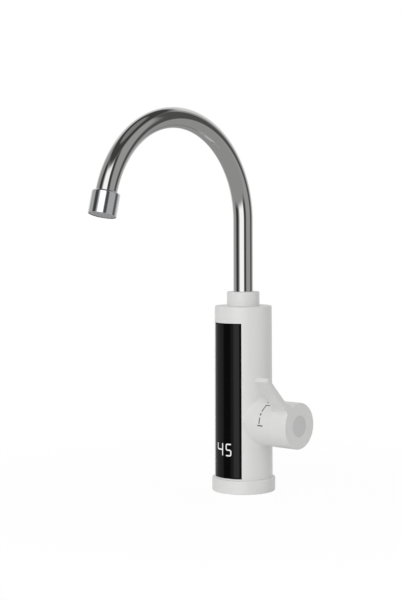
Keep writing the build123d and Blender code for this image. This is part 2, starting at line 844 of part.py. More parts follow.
# Screw that holds the knob on the spindle, with a hexagon socket in its head
knob_screw_top = knob_pocket_floor + knob_screw_head_height
with BuildPart() as knob_screw:
    turned(
        knob_plane,
        (knob_screw_radius, knob_pocket_floor - knob_screw_length, knob_pocket_floor),
        (knob_screw_head, knob_pocket_floor, knob_screw_top),
    )
    with BuildSketch(knob_plane.offset(knob_screw_top)) as screw_socket:
        RegularPolygon(knob_screw_radius, 6)
    extrude(amount=-knob_screw_head_height / 2, mode=Mode.SUBTRACT)
knob_screw.part.label = "knob_screw"
export_step(knob_screw.part, "parts/knob_screw.step")

# Disc that closes the knob's end, flush with it
with BuildPart() as knob_cap:
    turned(knob_plane, (knob_cap_radius, knob_face - knob_cap_thickness, knob_face))
knob_cap.part.label = "knob_cap"
export_step(knob_cap.part, "parts/knob_cap.step")

# Flow tube on the hot outlet: bore for the float, seat below it, roof above it
float_seat = outlet_foot + flow_seat
flow_roof_foot = vessel_base_foot - flow_roof
pipe_top = vessel_base_top - cut_over
with BuildPart() as flow_tube:
    turned(
        hot_plane,
        (flow_spigot, outlet_foot + fit_gap, valve_outlet_end),
        (flow_tube_radius, valve_outlet_end, vessel_base_foot),
        (flow_top_spigot, vessel_base_foot, pipe_top),
    )
    turned(
        hot_plane,
        (flow_throat, outlet_foot + fit_gap, pipe_top),
        (flow_bore, float_seat, flow_roof_foot),
        mode=Mode.SUBTRACT,
    )
flow_tube.part.label = "flow_tube"
export_step(flow_tube.part, "parts/flow_tube.step")

# Float that rises when water flows: fluted base and a stem for the magnet
float_foot = float_seat + pass_gap
float_shoulder = float_foot + float_base
with BuildPart() as flow_float:
    turned(
        hot_plane,
        (flow_bore - swivel_gap, float_foot, float_shoulder),
        (float_stem, float_shoulder, float_shoulder + float_stem_length),
    )
    with BuildSketch(hot_plane.offset(float_foot)) as flutes:
        with PolarLocations(flow_bore, float_flutes):
            Circle(float_flute_radius)
    extrude(amount=float_base, mode=Mode.SUBTRACT)
flow_float.part.label = "flow_float"
export_step(flow_float.part, "parts/flow_float.step")

# Ring magnet on the float's stem
magnet_top = float_shoulder + magnet_height
with BuildPart() as float_magnet:
    turned(hot_plane, (magnet_radius, float_shoulder, magnet_top))
    turned(hot_plane, (float_stem + thread_gap, float_shoulder, magnet_top), mode=Mode.SUBTRACT)
float_magnet.part.label = "float_magnet"
export_step(float_magnet.part, "parts/float_magnet.step")

# Spring that presses the float back to its seat
spring_start = magnet_top + fit_gap + spring_wire
spring_end = flow_roof_foot - fit_gap - spring_wire
spring_height = spring_end - spring_start
with BuildPart() as float_spring:
    helix_wire(
        hot_plane.offset(spring_start),
        spring_radius,
        spring_wire,
        spring_height / spring_turns,
        spring_height,
    )
float_spring.part.label = "float_spring"
export_step(float_spring.part, "parts/float_spring.step")

# Reed switch in a block that sits on the flow tube's side
reed_foot = valve_outlet_end + reed_rise
with BuildPart() as reed_switch:
    with BuildSketch(hot_plane.offset(reed_foot)) as reed_outline:
        with Locations((-flow_tube_radius - reed_size / 4, 0)):
            Rectangle(reed_size * 3 / 2, reed_size)
        Circle(flow_tube_radius + fit_gap, mode=Mode.SUBTRACT)
    extrude(amount=reed_height)
reed_switch.part.label = "reed_switch"
export_step(reed_switch.part, "parts/reed_switch.step")

# Pipe from the cold outlet up to the vessel
with BuildPart() as cold_pipe:
    turned(cold_plane, (cold_pipe_radius, outlet_foot + fit_gap, pipe_top))
    turned(
        cold_plane,
        (cold_pipe_radius - cold_pipe_wall, outlet_foot + fit_gap, pipe_top),
        mode=Mode.SUBTRACT,
    )
cold_pipe.part.label = "cold_pipe"
export_step(cold_pipe.part, "parts/cold_pipe.step")

# Plate that closes the heater vessel, with holes for pipes, element, probe and screws
leg_angle = radians(outer_leg_angle)
leg_places = [
    (coil_radius * cos(leg_angle), coil_radius * sin(leg_angle)),
    (inner_leg_x, inner_leg_y),
]
flange_top = vessel_foot + vessel_flange_height
with BuildPart() as vessel_base:
    with BuildSketch(Plane.XY.offset(vessel_base_foot)) as plate_outline:
        Circle(vessel_flange)
        with Locations((hot_x, -outlet_y)):
            Circle(flow_top_spigot + thread_gap, mode=Mode.SUBTRACT)
        with Locations((cold_x, outlet_y)):
            Circle(cold_pipe_radius + thread_gap, mode=Mode.SUBTRACT)
        with Locations(*leg_places):
            Circle(element_radius + thread_gap, mode=Mode.SUBTRACT)
        with Locations((probe_x, probe_y)):
            Circle(probe_radius + thread_gap, mode=Mode.SUBTRACT)
    extrude(amount=vessel_base_height)
    with BuildSketch(Plane.XY.offset(vessel_base_top)) as vessel_pilots:
        with PolarLocations(vessel_screw_circle, vessel_screw_count):
            Circle(vessel_screw_radius + thread_gap)
    extrude(amount=flange_top - vessel_screw_length - pass_gap - vessel_base_top, mode=Mode.SUBTRACT)
vessel_base.part.label = "vessel_base"
export_step(vessel_base.part, "parts/vessel_base.step")

# Rubber seal between the plate and the vessel's flange
with BuildPart() as vessel_seal:
    with BuildSketch(Plane.XY.offset(vessel_base_top)) as seal_outline:
        Circle(vessel_radius - vessel_wall + vessel_seal_width)
        Circle(vessel_radius - vessel_wall, mode=Mode.SUBTRACT)
    extrude(amount=vessel_seal_height)
vessel_seal.part.label = "vessel_seal"
export_step(vessel_seal.part, "parts/vessel_seal.step")

# Heater vessel: drawn steel cup with a flange below and a neck up into the spout's socket
neck_end = vessel_top + vessel_neck_height
with BuildPart() as heater_vessel:
    turned(Plane.XY, (vessel_radius, vessel_foot, vessel_top))
    fillet(heater_vessel.edges().filter_by(GeomType.CIRCLE).sort_by(Axis.Z)[-1], vessel_shoulder_round)
    offset(amount=-vessel_wall, openings=heater_vessel.faces().sort_by(Axis.Z)[0])
    with BuildSketch(Plane.XY.offset(vessel_foot)) as flange_outline:
        Circle(vessel_flange)
        Circle(vessel_radius - vessel_wall, mode=Mode.SUBTRACT)
        with PolarLocations(vessel_screw_circle, vessel_screw_count):
            Circle(vessel_screw_radius + fit_gap, mode=Mode.SUBTRACT)
    extrude(amount=vessel_flange_height)
    turned(Plane.XY, (vessel_neck, vessel_top, neck_end))
    turned(Plane.XY, (vessel_neck_bore, vessel_top - vessel_wall, neck_end), mode=Mode.SUBTRACT)
heater_vessel.part.label = "heater_vessel"
export_step(heater_vessel.part, "parts/heater_vessel.step")

# Screws through the vessel's flange into the plate
with BuildPart() as vessel_screws:
    with BuildSketch(Plane.XY.offset(flange_top)) as vessel_shafts:
        with PolarLocations(vessel_screw_circle, vessel_screw_count):
            Circle(vessel_screw_radius)
    extrude(amount=-vessel_screw_length)
    with BuildSketch(Plane.XY.offset(flange_top)) as vessel_heads:
        with PolarLocations(vessel_screw_circle, vessel_screw_count):
            Circle(vessel_screw_head)
    extrude(amount=vessel_screw_head_height)
vessel_screws.part.label = "vessel_screws"
export_step(vessel_screws.part, "parts/vessel_screws.step")

# Heating element: a coiled rod with both legs out through the plate
element_foot = vessel_base_foot - element_tail
coil_start = vessel_foot + 2 * element_radius + pass_gap
coil_end = vessel_top - vessel_wall - coil_end_room
inner_angle = degrees(atan2(inner_leg_y, inner_leg_x))
coil_turns = coil_full_turns + (inner_angle - outer_leg_angle) / 360
coil_plane = Plane(origin=(0, 0, coil_start), x_dir=(cos(leg_angle), sin(leg_angle), 0), z_dir=(0, 0, 1))
with BuildPart() as heating_element:
    coil_line = helix_wire(
        coil_plane,
        coil_radius,
        element_radius,
        (coil_end - coil_start) / coil_turns,
        coil_end - coil_start,
    )
    cross_way = (coil_line @ 1 - Vector(inner_leg_x, inner_leg_y, coil_end)).normalized()
    elbow = element_radius + thread_gap
    with BuildSketch(Plane(origin=coil_line @ 1 + cross_way * elbow, z_dir=-cross_way)) as cross_section:
        Circle(elbow)
    extrude(amount=coil_radius - hypot(inner_leg_x, inner_leg_y) + elbow)
    for place, top in zip(leg_places, (coil_start, coil_end)):
        turned(
            over(*place),
            (element_radius, element_foot, top),
            (elbow + thread_gap, top - 2 * elbow, top + elbow + thread_gap),
        )
heating_element.part.label = "heating_element"
export_step(heating_element.part, "parts/heating_element.step")

# Insulating bushes on the element's legs, under the plate
with BuildPart() as terminal_bushes:
    with BuildSketch(Plane.XY.offset(vessel_base_foot)) as bush_outlines:
        with Locations(*leg_places):
            Circle(bush_radius)
            Circle(element_radius + thread_gap, mode=Mode.SUBTRACT)
    extrude(amount=-bush_height)
terminal_bushes.part.label = "terminal_bushes"
export_step(terminal_bushes.part, "parts/terminal_bushes.step")

# Spade tabs at the ends of the element's legs
with BuildPart() as element_tabs:
    with BuildSketch(Plane.XY.offset(element_foot)) as tab_outlines:
        with Locations(*leg_places):
            Rectangle(tab_width, tab_thickness)
    extrude(amount=-tab_length)
    with BuildSketch(Plane.XZ) as tab_holes:
        with Locations(*[(x, element_foot - tab_length / 2) for x, y in leg_places]):
            Circle(tab_thickness)
    extrude(amount=vessel_radius, both=True, mode=Mode.SUBTRACT)
element_tabs.part.label = "element_tabs"
export_step(element_tabs.part, "parts/element_tabs.step")

# Thermal cut-out under the plate, with its two spade tabs
cutout_foot = vessel_base_foot - cutout_height
with BuildPart() as thermal_cutout:
    turned(over(cutout_x, cutout_y), (cutout_radius, cutout_foot, vessel_base_foot))
    with BuildSketch(over(cutout_x, cutout_y).offset(cutout_foot)) as cutout_tabs:
        with GridLocations(1, cutout_radius, 1, 2):
            Rectangle(tab_width, tab_thickness)
    extrude(amount=-cutout_tab_length)
thermal_cutout.part.label = "thermal_cutout"
export_step(thermal_cutout.part, "parts/thermal_cutout.step")

# Temperature probe up through the plate into the water
with BuildPart() as temperature_probe:
    turned(
        over(probe_x, probe_y),
        (probe_radius, vessel_base_foot, vessel_base_foot + probe_length),
        (probe_head, vessel_base_foot - probe_head_height, vessel_base_foot),
    )
    fillet(temperature_probe.edges().filter_by(GeomType.CIRCLE).sort_by(Axis.Z)[-1], probe_radius * 0.9)
temperature_probe.part.label = "temperature_probe"
export_step(temperature_probe.part, "parts/temperature_probe.step")

# Terminal block for the mains wires, on a pad inside the back wall
block_middle = block_foot + block_height / 2
block_front = block_back - block_depth
way_places = [((way - (block_ways - 1) / 2) * block_way_pitch, 0) for way in range(block_ways)]
with BuildPart() as terminal_block:
    with BuildSketch(Plane.XZ.offset(-block_back)) as block_outline:
        with Locations((0, block_middle)):
            Rectangle(block_width, block_height)
        with GridLocations(block_way_pitch, 1, 2, 1):
            with Locations((0, block_middle)):
                Circle(block_screw_radius + fit_gap, mode=Mode.SUBTRACT)
    extrude(amount=block_depth)
    with BuildSketch(over(0, (block_back + block_front) / 2).offset(block_foot)) as ways:
        with Locations(*way_places):
            Circle(block_way_radius)
    extrude(amount=block_height, mode=Mode.SUBTRACT)
terminal_block.part.label = "terminal_block"
export_step(terminal_block.part, "parts/terminal_block.step")

# Screws that hold the terminal block to its pad
with BuildPart() as block_screws:
    with BuildSketch(Plane.XZ.offset(-block_front)) as block_shafts:
        with GridLocations(block_way_pitch, 1, 2, 1):
            with Locations((0, block_middle)):
                Circle(block_screw_radius)
    extrude(amount=-block_screw_length)
    with BuildSketch(Plane.XZ.offset(-block_front)) as block_heads:
        with GridLocations(block_way_pitch, 1, 2, 1):
            with Locations((0, block_middle)):
                Circle(block_screw_head)
    extrude(amount=block_screw_head_height)
block_screws.part.label = "block_screws"
export_step(block_screws.part, "parts/block_screws.step")

# Spout socket: boss for the vessel's neck, flange under the body's top, thread up through it
flange_foot = body_ceiling - socket_flange_height
with BuildPart() as spout_socket:
    turned(
        Plane.XY,
        (socket_boss_radius, socket_foot, flange_foot),
        (socket_flange_radius, flange_foot, body_ceiling),
        (socket_thread_radius, body_ceiling, socket_top),
    )
    turned(
        Plane.XY,
        (vessel_neck + thread_gap, socket_foot, neck_end + fit_gap),
        (socket_throat, socket_foot, socket_ledge),
        (socket_bore, socket_ledge, socket_top),
        mode=Mode.SUBTRACT,
    )
spout_socket.part.label = "spout_socket"
export_step(spout_socket.part, "parts/spout_socket.step")

# Neck collar: threaded cap that clamps the socket to the body's top and keeps the spout in
with BuildPart() as neck_collar:
    turned(Plane.XY, (collar_radius, body_top, collar_top))
    fillet(neck_collar.edges().filter_by(GeomType.CIRCLE).sort_by(Axis.Z)[-1], collar_round)
    turned(
        Plane.XY,
        (socket_thread_radius + thread_gap, body_top, lip_foot),
        (tube_radius + pass_gap, lip_foot, collar_top),
        mode=Mode.SUBTRACT,
    )
neck_collar.part.label = "neck_collar"
export_step(neck_collar.part, "parts/neck_collar.step")

# Slip washer between the collar's lip and the spout's flange
washer_foot = foot_flange_top + swivel_gap
with BuildPart() as swivel_washer:
    with BuildSketch(Plane.XY.offset(washer_foot)) as washer_ring:
        Circle(socket_thread_radius - 2 * swivel_gap)
        Circle(tube_radius + pass_gap, mode=Mode.SUBTRACT)
    extrude(amount=swivel_washer_thickness)
swivel_washer.part.label = "swivel_washer"
export_step(swivel_washer.part, "parts/swivel_washer.step")

# Spout foot: turns in the socket on two sealing rings, its flange held by the collar
foot_start = socket_ledge + pass_gap
foot_end = foot_flange_top + foot_spigot_length
foot_stations = [foot_start + foot_groove_rise + step * foot_groove_pitch for step in (0, 1)]
with BuildPart() as spout_foot:
    turned(
        Plane.XY,
        (foot_radius, foot_start, foot_flange_foot),
        (foot_flange_radius, foot_flange_foot, foot_flange_top),
        (tube_radius - tube_wall - thread_gap, foot_flange_top, foot_end),
    )
    for station in foot_stations:
        ring_groove(Plane.XY, foot_radius, foot_groove_bottom, socket_bore, station)
    turned(Plane.XY, (foot_bore, foot_start, foot_end), mode=Mode.SUBTRACT)
spout_foot.part.label = "spout_foot"
export_step(spout_foot.part, "parts/spout_foot.step")

# Sealing rings on the spout's foot
with BuildPart() as spout_rings:
    for station in foot_stations:
        sealing_ring(Plane.XY, foot_groove_bottom, socket_bore, station)
spout_rings.part.label = "spout_rings"
export_step(spout_rings.part, "parts/spout_rings.step")

# Spout tube: straight up, over in one swan-neck arc, and a short straight tail
bend = radians(bend_angle)
outlet_plane = Plane(
    origin=(0, -arc_radius + arc_radius * cos(bend), arc_height + arc_radius * sin(bend)),
    x_dir=(1, 0, 0),
    z_dir=(0, -sin(bend), cos(bend)),
)
with BuildPart() as spout_tube:
    with BuildLine(Plane.YZ) as spout_line:
        Line((0, foot_flange_top), (0, arc_height))
        CenterArc((-arc_radius, arc_height), arc_radius, 0, bend_angle)
        Line(spout_line.line @ 1, spout_line.line @ 1 + spout_line.line % 1 * tube_tail)
    with BuildSketch(Plane.XY.offset(foot_flange_top)) as tube_section:
        Circle(tube_radius)
        Circle(tube_radius - tube_wall, mode=Mode.SUBTRACT)
    sweep(tube_section.sketch, path=spout_line.line)
spout_tube.part.label = "spout_tube"
export_step(spout_tube.part, "parts/spout_tube.step")

# Aerator housing: sleeve over the tube's end, with a wider bore at the outlet
sleeve_angle = degrees(aerator_back / arc_radius) * 1.5
aerator_bore = aerator_radius - aerator_rim
aerator_floor = tube_tail + fit_gap
with BuildPart() as aerator_housing:
    turned(outlet_plane, (aerator_radius, -aerator_back, aerator_reach))
    ends = aerator_housing.edges().filter_by(GeomType.CIRCLE).sort_by(Axis.Z)
    fillet(ends[-1], aerator_shoulder_round)
    outlet_rim = aerator_housing.edges().filter_by(GeomType.CIRCLE).sort_by(Axis.Z)[0]
    fillet(outlet_rim, aerator_edge_round)
    turned(outlet_plane, (aerator_bore, aerator_floor, aerator_reach), mode=Mode.SUBTRACT)
    with BuildLine(Plane.YZ) as sleeve_line:
        CenterArc((-arc_radius, arc_height), arc_radius, bend_angle - sleeve_angle, sleeve_angle)
        Line(sleeve_line.line @ 1, sleeve_line.line @ 1 + sleeve_line.line % 1 * aerator_floor)
    with BuildSketch(Plane(origin=sleeve_line.line @ 0, z_dir=sleeve_line.line % 0)) as sleeve_section:
        Circle(tube_radius + thread_gap)
    sweep(sleeve_section.sketch, path=sleeve_line.line, mode=Mode.SUBTRACT)
aerator_housing.part.label = "aerator_housing"
export_step(aerator_housing.part, "parts/aerator_housing.step")

# Rubber washer above the insert
insert_radius = aerator_bore - fit_gap
insert_start = aerator_floor + aerator_washer_height
screen_start = aerator_reach - screen_recess - screen_thickness
with BuildPart() as aerator_washer:
    turned(outlet_plane, (insert_radius, aerator_floor, insert_start))
    turned(
        outlet_plane,
        (insert_radius - aerator_washer_width, aerator_floor, insert_start),
        mode=Mode.SUBTRACT,
    )
aerator_washer.part.label = "aerator_washer"
export_step(aerator_washer.part, "parts/aerator_washer.step")

# Insert with a ring of flow channels
with BuildPart() as aerator_insert:
    turned(outlet_plane, (insert_radius, insert_start, screen_start))
    with BuildSketch(outlet_plane.offset(insert_start)) as channels:
        with PolarLocations(insert_hole_circle, insert_holes):
            Circle(insert_hole_radius)
    extrude(amount=screen_start - insert_start, mode=Mode.SUBTRACT)
aerator_insert.part.label = "aerator_insert"
export_step(aerator_insert.part, "parts/aerator_insert.step")

# Outlet screen: thin plate of square holes, set just inside the rim
with BuildPart() as outlet_screen:
    with BuildSketch(outlet_plane.offset(screen_start)) as screen_outline:
        Circle(insert_radius)
        Rectangle(screen_hole, screen_hole, mode=Mode.SUBTRACT)
        for ring in range(1, screen_rings + 1):
            with PolarLocations(ring * screen_ring_pitch, 6 * ring):
                Rectangle(screen_hole, screen_hole, mode=Mode.SUBTRACT)
    extrude(amount=screen_thickness)
outlet_screen.part.label = "outlet_screen"
export_step(outlet_screen.part, "parts/outlet_screen.step")
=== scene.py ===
from math import atan2, cos, degrees, hypot, pi, radians, sin, sqrt, tau
import bmesh
import bpy
from mathutils import Matrix, Vector


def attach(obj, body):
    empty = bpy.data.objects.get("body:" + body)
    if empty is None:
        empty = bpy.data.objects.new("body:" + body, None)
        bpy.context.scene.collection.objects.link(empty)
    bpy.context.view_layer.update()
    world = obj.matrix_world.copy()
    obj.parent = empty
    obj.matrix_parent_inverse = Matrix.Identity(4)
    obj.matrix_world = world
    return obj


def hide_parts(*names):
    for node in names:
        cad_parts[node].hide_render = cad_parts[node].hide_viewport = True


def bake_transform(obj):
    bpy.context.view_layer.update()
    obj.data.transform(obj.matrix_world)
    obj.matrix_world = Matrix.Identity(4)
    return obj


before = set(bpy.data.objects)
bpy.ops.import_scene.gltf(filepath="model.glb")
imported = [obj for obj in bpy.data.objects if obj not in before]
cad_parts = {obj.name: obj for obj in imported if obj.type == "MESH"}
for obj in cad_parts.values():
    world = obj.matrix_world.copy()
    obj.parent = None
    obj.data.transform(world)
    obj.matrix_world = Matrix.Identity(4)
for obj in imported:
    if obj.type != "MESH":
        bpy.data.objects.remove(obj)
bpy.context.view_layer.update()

# Body housing: the white upright case with the valve's boss on its side.
# Injection-moulded in ABS with a slight draft, one skin 3 mm thick, with a shallow recess in
# front that the display window is pressed into, and a soft blend where the boss leaves the case.
BODY_FOOT, BODY_TOP, BODY_WALL = 5.0, 188.9, 3.0
BODY_FOOT_RADIUS, BODY_DRAFT, RIM_ROUND, NECK_HOLE = 29.7, 0.7, 1.0, 13.6
INSIDE_DRAFT_TOP, SKIN_DEPTH, RIM_PLAY = 186.0, 0.4, 0.1
FOOT_ROW, FINE_FOOT, FINE_TOP, TOP_ROW = 10.0, 41.5, 101.5, 180.0
WINDOW_FOOT, WINDOW_TOP, WINDOW_HALF_ANGLE = 15.2, 172.2, 36.0
RECESS_DEPTH, RECESS_EDGE, RECESS_PLAY = 1.58, 0.02, 0.05
BOSS_HEIGHT, BOSS_RADIUS, BOSS_FACE, BOSS_WALL = 71.5, 23.3, 50.0, 3.0
LIP_RADIUS, LIP_BORE, LIP_REACH, VALVE_HOLE = 20.5, 18.3, 1.5, 12.1
ROOT_ROUND_SIDE, ROOT_ROUND_FOOT = 2.7, 5.0
OPENING_HALF_ANGLE, OPENING_HALF_HEIGHT = 63.0, 30.0
ROWS_OVER_SKIN, ROWS_UP_BLEND, ROWS_TO_FACE = 3, 8, 6
# Vertices this near are one, and a ring counts as found within this much
MERGE, NEAR = 0.0005, 0.02


def linear(code):
    """A colour written as an sRGB hex value, as the linear one that the shader takes."""
    channels = [int(code[place:place + 2], 16) / 255 for place in (1, 3, 5)]
    return tuple(c / 12.92 if c <= 0.04045 else ((c + 0.055) / 1.055) ** 2.4 for c in channels) + (1.0,)


def shaded(code, share):
    """The same colour, darker: its linear value times a share."""
    return tuple(channel * share for channel in linear(code)[:3]) + (1.0,)


def add_node(tree, kind, settings=None, links=None):
    """One shader node: its settings by name, its sockets by value, or by the socket that feeds them."""
    node = tree.nodes.new(kind)
    for name, value in (settings or {}).items():
        setattr(node, name, value)
    for name, value in (links or {}).items():
        if isinstance(value, bpy.types.NodeSocket):
            tree.links.new(value, node.inputs[name])
        else:
            node.inputs[name].default_value = value
    return node


def new_surface(name):
    """A new material with its empty node tree, and the object's own coordinates to lay patterns by."""
    material = bpy.data.materials.new(name)
    material.use_nodes = True
    tree = material.node_tree
    tree.nodes.clear()
    return material, tree, add_node(tree, "ShaderNodeTexCoord").outputs["Object"]


def close_surface(tree, sockets):
    """The surface's shader, with these sockets, and the material's output."""
    shader = add_node(tree, "ShaderNodeBsdfPrincipled", {}, sockets)
    add_node(tree, "ShaderNodeOutputMaterial", {}, {"Surface": shader.outputs["BSDF"]})


def moulded_abs(name, tint, peel_depth):
    """White ABS out of a polished mould: even colour, a faint orange peel, soft gloss."""
    material, tree, place = new_surface(name)
    # Flow of the melt: shades 60 mm long, far too weak to read as a stain
    flow = add_node(tree, "ShaderNodeTexNoise", {}, {"Vector": place, "Scale": 16.0, "Detail": 2.0})
    colour = add_node(tree, "ShaderNodeMix", {"data_type": "RGBA"}, {
        0: flow.outputs["Fac"], "A": shaded(tint, 0.985), "B": linear(tint)})
    # Orange peel of the polished steel, about 1.5 mm across
    peel = add_node(tree, "ShaderNodeTexNoise", {}, {"Vector": place, "Scale": 650.0, "Detail": 3.0})
    gloss = add_node(tree, "ShaderNodeMapRange", {}, {0: peel.outputs["Fac"], 3: 0.30, 4: 0.38})
    bump = add_node(tree, "ShaderNodeBump", {}, {
        "Height": peel.outputs["Fac"], "Strength": peel_depth, "Distance": 0.00004})
    close_surface(tree, {"Base Color": colour.outputs[2], "Roughness": gloss.outputs[0], "IOR": 1.53,
                         "Normal": bump.outputs["Normal"]})
    return material


def rows(foot, top, count):
    """Heights that part a stretch into even rows, without its foot."""
    return [foot + (top - foot) * row / count for row in range(1, count + 1)]


def lathe(bm, outline, segments=128):
    """Turns a closed outline of (radius, height) points once round the upright axis."""
    chain = [bm.verts.new((radius, 0, height)) for radius, height in outline]
    edges = [bm.edges.new(pair) for pair in zip(chain, chain[1:] + chain[:1])]
    old = set(bm.verts) - set(chain)
    bmesh.ops.spin(bm, geom=chain + edges, cent=(0, 0, 0), axis=(0, 0, 1), angle=tau, steps=segments,
                   use_merge=True)
    bmesh.ops.remove_doubles(bm, verts=[vert for vert in bm.verts if vert not in old], dist=MERGE)


def soften(bm, edges, size, steps):
    """Rounds the given edges, as the moulder or the turner breaks a sharp corner."""
    bmesh.ops.bevel(bm, geom=edges, offset=size, segments=steps, profile=0.5, affect="EDGES", material=-1)


def ring_edges(bm, radius, height):
    """The edges of one turned ring, picked by its radius and height."""
    def on_ring(vert):
        return abs(hypot(vert.co.x, vert.co.y) - radius) < NEAR and abs(vert.co.z - height) < NEAR
    return [edge for edge in bm.edges if all(on_ring(vert) for vert in edge.verts)]


def make_piece(name, bm, material, body, slot, *nodes, smooth=32):
    """Ends a piece: outward faces, metres, smooth shading up to an angle, and its place in the frame."""
    bmesh.ops.recalc_face_normals(bm, faces=bm.faces)
    bmesh.ops.scale(bm, vec=(0.001, 0.001, 0.001), verts=bm.verts)
    mesh = bpy.data.meshes.new(name)
    bm.to_mesh(mesh)
    bm.free()
    mesh.polygons.foreach_set("use_smooth", [True] * len(mesh.polygons))
    mesh.set_sharp_from_angle(angle=radians(smooth))
    mesh.materials.append(material)
    piece = bpy.data.objects.new(name, mesh)
    bpy.context.scene.collection.objects.link(piece)
    # Wide faces keep their own direction up to the small rounds beside them
    evened = piece.modifiers.new("even_shading", "WEIGHTED_NORMAL")
    evened.keep_sharp = True
    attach(piece, body)
    if nodes:
        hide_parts(*nodes)
    return piece


def case_radius(height):
    """Outside radius of the drafted case at a height."""
    return BODY_FOOT_RADIUS - BODY_DRAFT * height / BODY_TOP


def azimuth(point):
    """Angle of a point round the upright axis in degrees, from the front towards the knob's side."""
    return degrees(atan2(point.x, -point.y))


# Even white with a soft gloss, as a polished mould leaves it
white_abs = moulded_abs("white_abs_polished_mould", "#e9e9e8", 0.12)

# The rows of faces end at the recess's foot and top, and are 3 mm high beside the boss
recess_foot, recess_top = WINDOW_FOOT - RECESS_PLAY, WINDOW_TOP + RECESS_PLAY
heights = [BODY_FOOT, FOOT_ROW, recess_foot] + rows(recess_foot, FINE_FOOT, 8)
heights += rows(FINE_FOOT, FINE_TOP, 20) + rows(FINE_TOP, recess_top, 20) + [TOP_ROW, BODY_TOP]
outline = [(case_radius(height), height) for height in heights]
outline += [(NECK_HOLE, BODY_TOP), (NECK_HOLE, BODY_TOP - BODY_WALL)]
outline += [(case_radius(INSIDE_DRAFT_TOP) - BODY_WALL, BODY_TOP - BODY_WALL)]
outline += [(case_radius(BODY_FOOT) - BODY_WALL, BODY_FOOT)]
case = bmesh.new()
lathe(case, outline, segments=160)
soften(case, ring_edges(case, case_radius(BODY_TOP), BODY_TOP), RIM_ROUND, 4)


def on_skin(point):
    """Whether a point lies on the outside of the case, below the round of its rim."""
    outside = hypot(point.x, point.y) > case_radius(point.z) - SKIN_DEPTH
    return outside and point.z < BODY_TOP - RIM_ROUND - RIM_PLAY


# The recess for the window: its floor lies a window's thickness and a little glue below the skin
recess = []
for face in case.faces:
    middle = face.calc_center_median()
    if on_skin(middle) and abs(azimuth(middle)) < WINDOW_HALF_ANGLE and recess_foot < middle.z < recess_top:
        recess.append(face)
bmesh.ops.recalc_face_normals(case, faces=case.faces)
bmesh.ops.inset_region(case, faces=recess, thickness=RECESS_EDGE, depth=-RECESS_DEPTH, use_even_offset=True)

# The boss: the skin opens round it, and the opening's edge is drawn out to the round boss
opening = []
for face in case.faces:
    middle = face.calc_center_median()
    beside = abs(azimuth(middle) - 90) < OPENING_HALF_ANGLE
    if on_skin(middle) and beside and abs(middle.z - BOSS_HEIGHT) < OPENING_HALF_HEIGHT:
        opening.append(face)
bmesh.ops.delete(case, geom=opening, context="FACES")
rim = [edge for edge in case.edges if edge.is_boundary]


def root_round(turn):
    """Radius of the blend at the boss's root: small beside the window, full above and below."""
    return ROOT_ROUND_SIDE + (ROOT_ROUND_FOOT - ROOT_ROUND_SIDE) * cos(turn) ** 2


def root_arc(turn, share):
    """A point of the blend, from the case (share 0) to the boss (share 1), at a turn from the boss's top."""
    size = root_round(turn)
    y, z = (BOSS_RADIUS + size) * sin(turn), (BOSS_RADIUS + size) * cos(turn)
    skin = case_radius(BOSS_HEIGHT + z)
    centre = Vector((sqrt((skin + size) ** 2 - y * y), y, BOSS_HEIGHT + z))
    toward_case = Vector((-centre.x, -centre.y, 0)).normalized()
    toward_boss = Vector((0, -sin(turn), -cos(turn)))
    return centre + toward_case.slerp(toward_boss, share) * size


def draw_out(bm, edges, turns, place):
    """Extrudes a loop of edges, and puts each new vertex where place(turn, old place) says."""
    grown = bmesh.ops.extrude_edge_only(bm, edges=edges)["geom"]
    made = {item for item in grown if isinstance(item, bmesh.types.BMVert)}
    for vert in made:
        source = next(edge.other_vert(vert) for edge in vert.link_edges if edge.other_vert(vert) not in made)
        turns[vert] = turns[source]
        vert.co = place(turns[vert], source.co)
    return [item for item in grown if isinstance(item, bmesh.types.BMEdge) and item.is_boundary]


def over_the_skin(left):
    """A row on the case's own curve, one step of those left on the way to the blend."""
    def place(turn, old):
        spot = old + (root_arc(turn, 0) - old) / left
        spot.x = sqrt(case_radius(spot.z) ** 2 - spot.y ** 2)
        return spot
    return place


def up_the_blend(share):
    """A row on the blend, at its share of the way up."""
    return lambda turn, old: root_arc(turn, share)


def boss_ring(radius, x, left=1):
    """A ring round the boss's axis, or one step of those left on the way there."""
    def place(turn, old):
        return Vector((old.x + (x - old.x) / left, radius * sin(turn), BOSS_HEIGHT + radius * cos(turn)))
    return place


# Each vertex keeps its turn round the boss, measured over the case's curve
turns = {}
spread = 1 + root_round(pi / 2) / case_radius(BOSS_HEIGHT)
for edge in rim:
    for vert in edge.verts:
        turns[vert] = atan2(vert.co.y * spread, vert.co.z - BOSS_HEIGHT)
for left in range(ROWS_OVER_SKIN, 0, -1):
    rim = draw_out(case, rim, turns, over_the_skin(left))
for row in range(1, ROWS_UP_BLEND + 1):
    rim = draw_out(case, rim, turns, up_the_blend(row / ROWS_UP_BLEND))
for left in range(ROWS_TO_FACE, 0, -1):
    rim = draw_out(case, rim, turns, boss_ring(BOSS_RADIUS, BOSS_FACE, left))
# The boss's face with the lip that the knob turns on, and the hole for the valve's thread
lip_face = BOSS_FACE + LIP_REACH
for radius, x in ((LIP_RADIUS, BOSS_FACE), (LIP_RADIUS, lip_face), (LIP_BORE, lip_face),
                  (LIP_BORE, BOSS_FACE), (VALVE_HOLE, BOSS_FACE), (VALVE_HOLE, BOSS_FACE - BOSS_WALL)):
    rim = draw_out(case, rim, turns, boss_ring(radius, x))
bmesh.ops.contextual_create(case, geom=rim)
body_case = make_piece("body_case", case, white_abs, "housing", "white_moulding", "body_shell")


